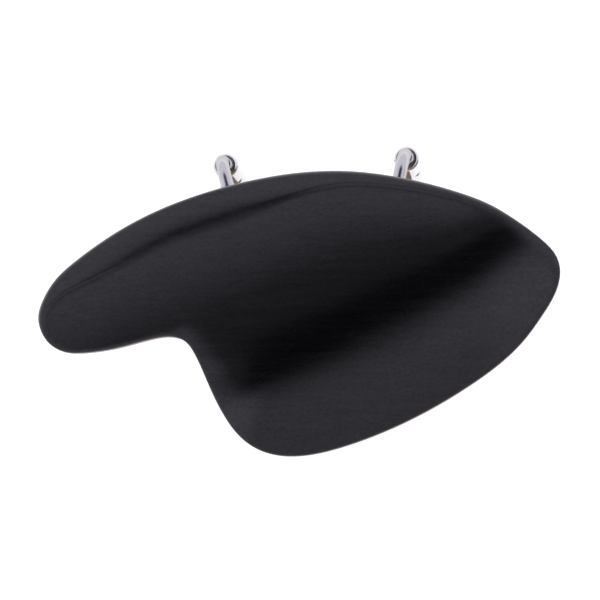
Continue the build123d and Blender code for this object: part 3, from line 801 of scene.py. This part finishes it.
def rod_mesh(name, side, spec):
    """Clamp rod: a forged flat tab, a round arm, a bend and a threaded leg."""
    post_x, (in_x, in_y) = post_frame(side)
    inward = np.array([in_x, in_y, 0.0])
    across = np.array([-in_y, in_x, 0.0])
    upward = np.array([0.0, 0.0, 1.0])
    axis = np.array([post_x, 0.0, 0.0])
    arm_z = spec.tab_top - ROD_R
    half_width, half_thick = spec.tab_width / 2, spec.tab_thick / 2
    rings = []
    # tab with rounded corners, its rim softened
    stations = np.concatenate([[0.0, 0.02, 0.10, TAB_RIM], np.linspace(0.45, 2.6, 10),
                               np.linspace(3.2, spec.tab_far - spec.tab_near, 14)])
    for v in stations:
        width, thick = half_width, half_thick
        if v < TAB_CORNER_R:
            corner = math.sqrt(max(TAB_CORNER_R**2 - (TAB_CORNER_R - v)**2, 0))
            width -= TAB_CORNER_R - corner
        if v < TAB_RIM:
            k = 1 - v / TAB_RIM
            thick = half_thick - TAB_RIM_THIN * (1 - math.sqrt(max(1 - k * k, 0)))
            width -= TAB_RIM_NARROW * k
        center = axis + inward * (spec.tab_far - v) + upward * (spec.tab_top - half_thick)
        rings.append(oval_ring(center, across, upward, width, thick, TAB_POWER))
    # forged transition into the round rod, flush with the top of the tab
    for v in np.linspace(0, 1, 14)[1:]:
        width = half_width + (ROD_R - half_width) * smoothstep(0, 1, v ** 0.8)
        thick = half_thick + (ROD_R - half_thick) * smoothstep(0, 1, v)
        power = TAB_POWER + (ROUND_POWER - TAB_POWER) * smoothstep(0, 0.8, v)
        center = (axis + inward * (spec.tab_near - v * FORGED_LEN)
                  + upward * (spec.tab_top - thick))
        rings.append(oval_ring(center, across, upward, width, thick, power))

    def add_round(center, up):
        rings.append(oval_ring(center, across, up, ROD_R, ROD_R, ROUND_POWER))
    # a ring halfway along the arm, where there is room for one
    arm_end = spec.tab_near - FORGED_LEN
    if arm_end > BEND_R + 0.3:
        add_round(axis + inward * (0.5 * (arm_end + BEND_R)) + upward * arm_z, upward)
    # the bend, with the section's up vector turning along it
    up_after = spec.leg * inward
    for v in np.linspace(0, math.pi / 2, 22):
        center = (axis + inward * BEND_R * (1 - math.sin(v))
                  + upward * (arm_z + spec.leg * BEND_R * (1 - math.cos(v))))
        add_round(center, upward * math.cos(v) + up_after * math.sin(v))
    # the leg, plain and then threaded
    for z in np.linspace(arm_z + spec.leg * BEND_R, spec.thread_start, 8)[1:]:
        add_round(axis + upward * z, up_after)
    steps = int(abs(spec.thread_end - spec.thread_start) / THREAD_STEP)
    for z in np.linspace(spec.thread_start, spec.thread_end, steps + 1)[1:]:
        rings.append(thread_ring(axis + upward * z, across, up_after, z, spec))
    return make_solid(name, *skin_rings(rings))


def cutting_tube(center, axis, radii, heights, count=40):
    """Capped surface of revolution round an axis through the center."""
    axis = np.array(axis, float)
    helper = np.array([0, 0, 1.0]) if abs(axis[2]) < 0.9 else np.array([1.0, 0, 0])
    right = np.cross(axis, helper)
    right /= np.linalg.norm(right)
    up = np.cross(axis, right)
    angle = np.linspace(0, 2 * math.pi, count, endpoint=False)
    return skin_rings([np.array(center) + axis * height + np.outer(np.cos(angle), right) * radius
                       + np.outer(np.sin(angle), up) * radius
                       for radius, height in zip(radii, heights)])


def bracket_mesh(name, side):
    """Upper rod, with screw holes countersunk from under its tab."""
    ob = rod_mesh(name, side, BRACKET)
    post_x, (in_x, in_y) = post_frame(side)
    under = BRACKET.tab_top - BRACKET.tab_thick
    radii = (SCREW_HEAD_R + 0.42, SCREW_HEAD_R + 0.1, SCREW_HOLE_R, SCREW_HOLE_R)
    heights = (under - 0.35, under, under + SCREW_HEAD_H - 0.35, BRACKET.tab_top + 0.5)
    cut(ob, [cutting_tube((post_x + in_x * at, in_y * at, 0), (0, 0, 1), radii, heights, count=48)
             for at in SCREW_AT])
    return ob


# -------------------------------------------------------------------- barrels
def lathe(profile, count):
    """Closed ring of revolution about z from a closed (r, z) profile."""
    radius, z = np.array(profile, float).T
    size = len(profile)
    angles = np.linspace(0, 2 * math.pi, count, endpoint=False)
    verts = np.concatenate([np.stack([radius * math.cos(a), radius * math.sin(a), z], 1)
                            for a in angles])
    faces = []
    for k in range(count):
        here, there = k * size, (k + 1) % count * size
        for j in range(size):
            following = (j + 1) % size
            faces.append((here + j, there + j, there + following, here + following))
    return verts, faces


def barrel_mesh(name, side):
    """Bored barrel with two crossed key holes at mid length."""
    post_x, _ = post_frame(side)
    top, bottom = BARREL_TOP_Z, BARREL_TOP_Z - BARREL_LEN
    bore, flat, outer, chamfer = BARREL_BORE_R, BARREL_FLAT_R, BARREL_R, BARREL_CHAMFER_H
    straight = 0.30            # the straight walls start this far past the end shapes
    # (radius, depth from the end), from the bore out to the outer wall
    end = [(bore, straight), (bore, 0.16), (bore + 0.04, 0.06), (bore + 0.14, 0.0),
           (flat - 0.06, 0.0), (flat - 0.02, 0.01), (flat + 0.04, 0.05),
           (outer - 0.08, chamfer - 0.08), (outer - 0.02, chamfer),
           (outer, chamfer + 0.08), (outer, chamfer + straight)]
    profile = [(r, bottom + depth) for r, depth in end]
    profile += [(outer, z) for z in np.linspace(bottom + chamfer + straight,
                                                top - chamfer - straight, 42)[1:-1]]
    profile += [(r, top - depth) for r, depth in end[::-1]]
    profile += [(bore, z) for z in np.linspace(top - straight, bottom + straight, 42)[1:-1]]
    verts, faces = lathe(profile, BARREL_COUNT)
    verts[:, 0] += post_x
    ob = make_solid(name, verts, faces)
    # each key hole is flared where it meets the outer wall
    flare = KEY_HOLE_R + 0.35
    radii = (flare, KEY_HOLE_R, KEY_HOLE_R, flare)
    heights = (-outer - 0.15, -outer + 0.22, outer - 0.22, outer + 0.15)
    cut(ob, [cutting_tube((post_x, 0, KEY_HOLE_Z), (x, DIAGONAL, 0), radii, heights)
             for x in (DIAGONAL, -DIAGONAL)])
    return ob


# ------------------------------------------------------------------ materials
class Graph:
    """Short ways to add and link shader nodes. Where a value is wanted, a
    number, a colour tuple or an output socket can be given."""

    def __init__(self, tree):
        self.tree = tree
        tree.nodes.clear()

    def node(self, kind, **props):
        node = self.tree.nodes.new(kind)
        for key, value in props.items():
            setattr(node, key, value)
        return node

    def link(self, output, socket):
        self.tree.links.new(output, socket)

    def feed(self, socket, value):
        if isinstance(value, (int, float)):
            socket.default_value = value
        elif isinstance(value, tuple):
            socket.default_value = (*value, 1)
        else:
            self.link(value, socket)

    def math(self, operation, *values, clamp=False):
        node = self.node("ShaderNodeMath", operation=operation, use_clamp=clamp)
        for socket, value in zip(node.inputs, values):
            self.feed(socket, value)
        return node.outputs[0]

    def scaled(self, value, by):
        return self.math("MULTIPLY", value, by)

    def ramp(self, factor, stops):
        """Colour ramp from (position, colour) stops."""
        node = self.node("ShaderNodeValToRGB")
        elements = node.color_ramp.elements
        while len(elements) < len(stops):
            elements.new(0.5)
        for element, (position, color) in zip(elements, stops):
            element.position = position
            element.color = (*color, 1)
        self.link(factor, node.inputs["Fac"])
        return node.outputs["Color"]

    def mix(self, factor, base, to, blend="MIX"):
        node = self.node("ShaderNodeMix", data_type="RGBA", blend_type=blend)
        for index, value in ((0, factor), (6, base), (7, to)):
            self.feed(node.inputs[index], value)
        return node.outputs[2]


class Material(Graph):
    """A Principled material with textures in object coordinates, in metres."""

    def __init__(self, name):
        self.mat = bpy.data.materials.new(name)
        self.mat.use_nodes = True
        super().__init__(self.mat.node_tree)
        self.out = self.node("ShaderNodeOutputMaterial")
        self.bsdf = self.node("ShaderNodeBsdfPrincipled")
        self.link(self.bsdf.outputs[0], self.out.inputs[0])
        self.coord = self.node("ShaderNodeTexCoord")

    def mapping(self, scale=(1, 1, 1), turn_deg=0):
        node = self.node("ShaderNodeMapping")
        node.inputs["Scale"].default_value = scale
        node.inputs["Rotation"].default_value = (0, 0, math.radians(turn_deg))
        self.link(self.coord.outputs["Object"], node.inputs["Vector"])
        return node.outputs[0]

    def noise(self, vector, scale, detail, rough=0.5, distort=0.0):
        node = self.node("ShaderNodeTexNoise")
        for key, value in (("Scale", scale), ("Detail", detail), ("Roughness", rough),
                           ("Distortion", distort), ("Vector", vector)):
            self.feed(node.inputs[key], value)
        return node.outputs["Fac"]

    def span(self, value, over, to):
        """Map the range 'over' onto the range 'to', clamped."""
        node = self.node("ShaderNodeMapRange")
        for key, number in zip(("From Min", "From Max", "To Min", "To Max"), (*over, *to)):
            node.inputs[key].default_value = number
        self.link(value, node.inputs["Value"])
        return node.outputs[0]

    def bump(self, height, strength, distance, prior=None):
        node = self.node("ShaderNodeBump")
        node.inputs["Strength"].default_value = strength
        node.inputs["Distance"].default_value = distance
        self.link(height, node.inputs["Height"])
        if prior is not None:
            self.link(prior, node.inputs["Normal"])
        return node.outputs[0]

    def set(self, name, value):
        self.feed(self.bsdf.inputs[name], value)


def ebony():
    """Hand-polished ebony: near-black with faint streaks along the grain,
    fine open pores and a soft polish; a grey highlight line, a brown reflection at the rim and
    browner upright faces are painted on."""
    m = Material("ebony_satin")

    def grain(across):
        return m.mapping(scale=(1, across, across), turn_deg=4)
    streak = m.noise(grain(across=14), scale=55, detail=4, rough=0.55, distort=0.6)
    fine = m.noise(grain(across=26), scale=420, detail=2, rough=0.6)
    pores = m.noise(grain(across=11), scale=1100, detail=1)
    cloud = m.noise(m.mapping(), scale=45, detail=3)
    base = m.ramp(streak, stops=[(0.30, (0.0004, 0.0004, 0.0006)),
                                 (0.62, (0.0009, 0.0008, 0.0010)),
                                 (0.80, (0.0026, 0.0018, 0.0015))])
    # upright faces are painted browner, as a warm reflection
    geometry = m.node("ShaderNodeNewGeometry")
    normal = m.node("ShaderNodeSeparateXYZ")
    m.link(geometry.outputs["True Normal"], normal.inputs[0])
    wall = m.span(m.math("ABSOLUTE", normal.outputs["Z"]), over=(0.62, 0.30), to=(0.0, 1.0))
    base = m.mix(m.scaled(wall, by=0.85), base, to=(0.017, 0.0100, 0.0065))
    pit = m.span(pores, over=(0.64, 0.78), to=(0.0, 1.0))
    base = m.mix(m.scaled(pit, by=0.5), base, to=(0.0004, 0.0003, 0.0003))
    # above 1, the wear values paint the wood grey: a painted highlight line along the crest and
    # the rim
    wear_and_highlight = m.node("ShaderNodeAttribute", attribute_name="wear_and_painted_highlight").outputs["Fac"]
    painted_highlight_mask = m.scaled(m.math("SUBTRACT", wear_and_highlight, 1.0, clamp=True), by=0.9)
    base = m.mix(painted_highlight_mask, base, to=(0.022, 0.020, 0.024))
    # painted warm reflection: a brown line along the rim
    rim = m.node("ShaderNodeAttribute", attribute_name="painted_rim_reflection").outputs["Fac"]
    base = m.mix(m.scaled(rim, by=0.85), base, to=(0.030, 0.0175, 0.0085))
    m.set("Base Color", base)
    rough = m.math("ADD", m.span(streak, over=(0.3, 0.75), to=(0.155, 0.19)),
                   m.span(cloud, over=(0.3, 0.7), to=(-0.015, 0.025)))
    rough = m.math("ADD", rough, m.scaled(wear_and_highlight, by=0.26))
    rough = m.math("ADD", rough, m.scaled(pit, by=0.10))
    rough = m.math("ADD", rough, m.scaled(wall, by=0.06))
    m.set("Roughness", rough)
    m.set("IOR", 1.5)
    mottle = m.noise(m.mapping(scale=(1, 1.5, 1.5)), scale=1150, detail=3, rough=0.65)
    m.set("Specular IOR Level",
          m.math("ADD", m.span(mottle, over=(0.3, 0.7), to=(0.40, 0.56)),
                 m.span(streak, over=(0.3, 0.7), to=(-0.025, 0.045))))
    # grain and pores, then a fine ripple, then a broad unevenness
    relief = m.bump(m.math("SUBTRACT", m.scaled(fine, by=0.4), pit),
                    strength=0.09, distance=0.00008)
    ripple = m.noise(m.mapping(scale=(1, 1.6, 1.6)), scale=1300, detail=2, rough=0.6)
    relief = m.bump(ripple, strength=0.07, distance=0.00010, prior=relief)
    m.set("Normal", m.bump(cloud, strength=0.05, distance=0.0006, prior=relief))
    return m.mat


def chrome(name, tint, edge, dull, mark_stretch, mark_scale, mark_strength):
    """Polished nickel-chrome plating, with fine polishing or turning marks.
    Edge is the brightness at grazing angles, dull is added roughness."""
    m = Material(name)
    cloud = m.noise(m.mapping(), scale=320, detail=3, rough=0.55)
    marks = m.noise(m.mapping(scale=mark_stretch), scale=mark_scale, detail=2, rough=0.6)
    wear = m.noise(m.mapping(), scale=900, detail=5, rough=0.7, distort=0.4)
    haze = m.span(wear, over=(0.56, 0.72), to=(0.0, 1.0))
    hazy = tuple(v * 0.78 for v in tint)
    m.set("Base Color", m.mix(m.scaled(haze, by=0.35), tint, to=hazy))
    m.set("Metallic", 1.0)
    m.set("Specular Tint", (edge, edge, edge))
    m.set("Roughness", m.math("ADD", m.span(cloud, over=(0.3, 0.7), to=(0.07 + dull, 0.13 + dull)),
                              m.scaled(haze, by=0.10)))
    m.set("Normal", m.bump(marks, strength=mark_strength, distance=0.00003))
    return m.mat


def zinc():
    """Dull zinc-plated steel of the screws."""
    m = Material("screw_zinc")
    mottle = m.noise(m.mapping(), scale=1500, detail=4, rough=0.6)
    scratches = m.noise(m.mapping(scale=(30, 1, 1)), scale=900, detail=2, rough=0.6)
    m.set("Base Color", m.ramp(mottle, stops=[(0.3, (0.46, 0.45, 0.43)),
                                              (0.7, (0.66, 0.65, 0.62))]))
    m.set("Metallic", 1.0)
    m.set("Roughness", m.span(mottle, over=(0.3, 0.7), to=(0.22, 0.42)))
    m.set("Normal", m.bump(scratches, strength=0.12, distance=0.00004))
    return m.mat


def cork():
    """Agglomerated sheet cork: tight granules in warm tans, dark flecks."""
    m = Material("cork_sheet")
    vector = m.mapping()

    def granules(feature):
        node = m.node("ShaderNodeTexVoronoi", feature=feature)
        node.inputs["Scale"].default_value = 1050
        m.link(vector, node.inputs["Vector"])
        return node
    cells = granules("F1")
    distance = granules("DISTANCE_TO_EDGE").outputs["Distance"]
    random = m.node("ShaderNodeSeparateColor")
    m.link(cells.outputs["Color"], random.inputs[0])
    base = m.ramp(random.outputs[0], stops=[
        (0.0, (0.30, 0.165, 0.085)), (0.35, (0.44, 0.27, 0.15)),
        (0.7, (0.56, 0.37, 0.215)), (1.0, (0.64, 0.455, 0.29))])
    seam = m.span(distance, over=(0.0, 0.10), to=(1.0, 0.0))
    base = m.mix(m.scaled(seam, by=0.55), base, to=(0.19, 0.10, 0.05))
    fleck = m.span(m.noise(vector, scale=1500, detail=2, rough=0.6),
                   over=(0.66, 0.72), to=(0.0, 1.0))
    base = m.mix(m.scaled(fleck, by=0.85), base, to=(0.075, 0.035, 0.018))
    soft = m.noise(vector, scale=260, detail=3)
    base = m.mix(m.span(soft, over=(0.35, 0.65), to=(0.0, 0.22)), base, to=(0.70, 0.52, 0.35))
    # the whole sheet is darkened as painted shade
    m.set("Base Color", m.mix(0.45, base, to=(0.115, 0.068, 0.045)))
    m.set("Roughness", m.span(soft, over=(0.3, 0.7), to=(0.78, 0.95)))
    m.set("IOR", 1.4)
    height = m.math("SUBTRACT", m.math("MINIMUM", distance, 0.2), m.scaled(fleck, by=0.3))
    m.set("Normal", m.bump(height, strength=0.35, distance=0.00012))
    return m.mat


def floor_pale():
    """Pale, faintly glowing floor, clear from below so that the underside of
    the chin rest can be looked at."""
    m = Material("floor_pale")
    cloud = m.noise(m.mapping(), scale=3.0, detail=3)
    m.set("Base Color", m.ramp(cloud, stops=[(0.0, (0.86, 0.86, 0.865)),
                                             (1.0, (0.90, 0.90, 0.905))]))
    m.set("Roughness", 0.9)
    m.set("Emission Color", (1.0, 1.03, 0.93))
    m.set("Emission Strength", 0.32)
    shader = m.node("ShaderNodeMixShader")
    sources = (m.node("ShaderNodeNewGeometry").outputs["Backfacing"], m.bsdf.outputs[0],
               m.node("ShaderNodeBsdfTransparent").outputs[0])
    for socket, source in zip(shader.inputs, sources):
        m.link(source, socket)
    m.link(shader.outputs[0], m.out.inputs["Surface"])
    return m.mat


def paint(ob, mat):
    ob.data.materials.clear()
    ob.data.materials.append(mat)


EBONY = ebony()
BARREL_CHROME = chrome("plating_barrel", tint=(0.74, 0.735, 0.72), edge=1.0, dull=0.0,
                       mark_stretch=(0.05, 0.05, 1), mark_scale=9000, mark_strength=0.06)
ROD_CHROME = chrome("plating_rod", tint=(0.53, 0.525, 0.52), edge=0.7, dull=0.05,
                    mark_stretch=(1, 1, 0.25), mark_scale=5200, mark_strength=0.05)
ZINC = zinc()
CORK = cork()


# --------------------------------------------------------------------- pieces
def place(ob, mat, rides, replaces):
    """Paint a piece and put it in the place of its CAD piece."""
    paint(ob, mat)
    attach(ob, rides)
    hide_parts(replaces)


def finish_screw(name):
    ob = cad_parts[name]
    # cad_parts may hold the object's name instead of the object
    if isinstance(ob, str):
        ob = bpy.data.objects[ob]
    paint(ob, ZINC)
    bevel = ob.modifiers.new("soft_edges", "BEVEL")
    bevel.width = 0.00006      # metres
    bevel.segments = 2
    bevel.limit_method = "ANGLE"
    bevel.angle_limit = math.radians(40)


place(plate_mesh(), EBONY, "chinrest", "chin_plate")

for seed, part in enumerate(("left", "middle", "right"), start=11):
    piece = f"heel_cork_{part}"
    ob = cork_mesh(f"cork_heel_{part}", piece, heel_cork_shape(part), seed)
    place(ob, CORK, "chinrest", piece)

for name, side in (("left", -1), ("right", 1)):
    ob = bracket_mesh(f"bracket_rod_{name}", side)
    smooth_by_angle(ob, 40)
    place(ob, ROD_CHROME, "chinrest", f"upper_bracket_{name}")

    ob = barrel_mesh(f"turnbuckle_barrel_{name}", side)
    smooth_by_angle(ob, 28)
    place(ob, BARREL_CHROME, f"turnbuckle_{name}", f"barrel_{name}")

    ob = rod_mesh(f"foot_rod_{name}", side, FOOT)
    smooth_by_angle(ob, 40)
    place(ob, ROD_CHROME, f"foot_{name}", f"lower_foot_{name}")

    piece = f"foot_cork_{name}"
    ob = cork_mesh(f"cork_foot_{name}", piece, foot_cork_shape(side), seed=31 + side)
    place(ob, CORK, f"foot_{name}", piece)

    for row in ("rear", "front"):
        finish_screw(f"bracket_screw_{name}_{row}")

# ---------------------------------------------------------------------- stage
FLOOR_Z = -48.7
FLOOR_HALF = 6000          # half the floor's side


def build_floor():
    corners = [(x * FLOOR_HALF * MM, y * FLOOR_HALF * MM, FLOOR_Z * MM)
               for x, y in ((-1, -1), (1, -1), (1, 1), (-1, 1))]
    mesh = bpy.data.meshes.new("floor")
    mesh.from_pydata(corners, [], [(0, 1, 2, 3)])
    floor = bpy.data.objects.new("floor", mesh)
    bpy.context.scene.collection.objects.link(floor)
    paint(floor, floor_pale())


# Light tent: white all round, with a dark opening overhead.
OPENING = Vector((0.0125, -0.056, 1.0)).normalized()   # middle of the opening
OPENING_SPAN = 60.0        # degrees covered by the brightness ramps
# (degrees from the middle of the opening, brightness), to the front and back
FRONT_TENT = [(0.0, 0.02), (7.4, 0.02), (9, 0.20), (21.5, 0.20), (26, 0.46), (30, 0.62),
              (34, 0.79), (42, 1.0)]
BACK_TENT = [(0.0, 0.02), (13, 0.03), (18, 0.10), (23, 0.22), (29, 0.55), (34, 0.80),
             (43, 1.0)]
TENT_TINT = (1.0, 0.965, 1.14)
ROOM_TOWARD = (0.30, -0.954, 0.0)      # low in front, the tent is open to a room
ROOM_COLOR = (0.17, 0.125, 0.10)       # which is warm and dim
BACKDROP = (0.93, 0.93, 0.94)


def build_world():
    world = bpy.data.worlds.new("tent")
    bpy.context.scene.world = world
    world.use_nodes = True
    g = Graph(world.node_tree)
    toward_back = Vector((0, 1, 0)) - OPENING * OPENING.y
    toward_back.normalize()
    coord = g.node("ShaderNodeTexCoord")
    unit = g.node("ShaderNodeVectorMath", operation="NORMALIZE")
    g.link(coord.outputs["Generated"], unit.inputs[0])

    def dot(direction):
        node = g.node("ShaderNodeVectorMath", operation="DOT_PRODUCT")
        g.link(unit.outputs[0], node.inputs[0])
        node.inputs[1].default_value = direction
        return node.outputs["Value"]

    def tent_ramp(factor, table):
        return g.ramp(factor, [(degrees / OPENING_SPAN, (v, v, v)) for degrees, v in table])

    cosine = g.math("MINIMUM", dot(tuple(OPENING)), 1.0)
    angle = g.math("DEGREES", g.math("ARCCOSINE", cosine))
    # MULTIPLY_ADD sets how quickly one region passes into the next
    back = g.math("MULTIPLY_ADD", dot(tuple(toward_back)), 4.0, 0.5, clamp=True)
    factor = g.math("DIVIDE", angle, OPENING_SPAN)
    tent = g.mix(back, tent_ramp(factor, FRONT_TENT), to=tent_ramp(factor, BACK_TENT))
    tent = g.mix(1.0, tent, to=TENT_TINT, blend="MULTIPLY")
    facing = g.math("MULTIPLY_ADD", dot(ROOM_TOWARD), 3.0, -0.6, clamp=True)
    low = g.math("MULTIPLY_ADD", dot((0.0, 0.0, 1.0)), -3.2, 1.55, clamp=True)
    room = g.scaled(g.math("MULTIPLY", facing, low), by=0.9)
    tent = g.mix(room, tent, to=ROOM_COLOR)
    # the camera itself sees a plain backdrop
    is_camera = g.node("ShaderNodeLightPath").outputs["Is Camera Ray"]
    background = g.node("ShaderNodeBackground")
    g.link(g.mix(is_camera, tent, to=BACKDROP), background.inputs["Color"])
    background.inputs["Strength"].default_value = 1.0
    output = g.node("ShaderNodeOutputWorld")
    g.link(background.outputs[0], output.inputs[0])


def build_sun():
    light = bpy.data.lights.new("soft_top", "SUN")
    light.energy = 1.1
    light.angle = math.radians(70)
    sun = bpy.data.objects.new("soft_top", light)
    sun.rotation_euler = (math.radians(-8), math.radians(5), 0)
    sun.visible_glossy = False
    bpy.context.scene.collection.objects.link(sun)


CAMERA_TARGET = Vector((-2.77888, -35.52291, 18.02194)) * MM
CAMERA_LEAN_X, CAMERA_LEAN_Y = 5.0, 6.5    # degrees to the right and to the front
CAMERA_ROLL = -1.404527                    # degrees
CAMERA_DISTANCE = 0.6                      # metres
CAMERA_LENS = 156.1044                     # on a sensor 36 wide


def build_camera():
    """A camera overhead, looking down at the plate."""
    back = Vector((math.tan(math.radians(CAMERA_LEAN_X)),
                   -math.tan(math.radians(CAMERA_LEAN_Y)), 1.0)).normalized()
    level_right = Vector((0, 1, 0)).cross(back).normalized()
    level_up = back.cross(level_right)
    roll = math.radians(CAMERA_ROLL)
    right = level_right * math.cos(roll) + level_up * math.sin(roll)
    up = level_up * math.cos(roll) - level_right * math.sin(roll)
    data = bpy.data.cameras.new("camera")
    data.sensor_width = 36.0
    data.lens = CAMERA_LENS
    data.clip_start = 0.01
    data.clip_end = 50
    camera = bpy.data.objects.new("camera", data)
    camera.matrix_world = Matrix((right, up, back)).transposed().to_4x4()
    camera.matrix_world.translation = CAMERA_TARGET + back * CAMERA_DISTANCE
    bpy.context.scene.collection.objects.link(camera)
    bpy.context.scene.camera = camera


build_floor()
build_world()
build_sun()
build_camera()
bpy.context.scene.view_settings.view_transform = "Standard"
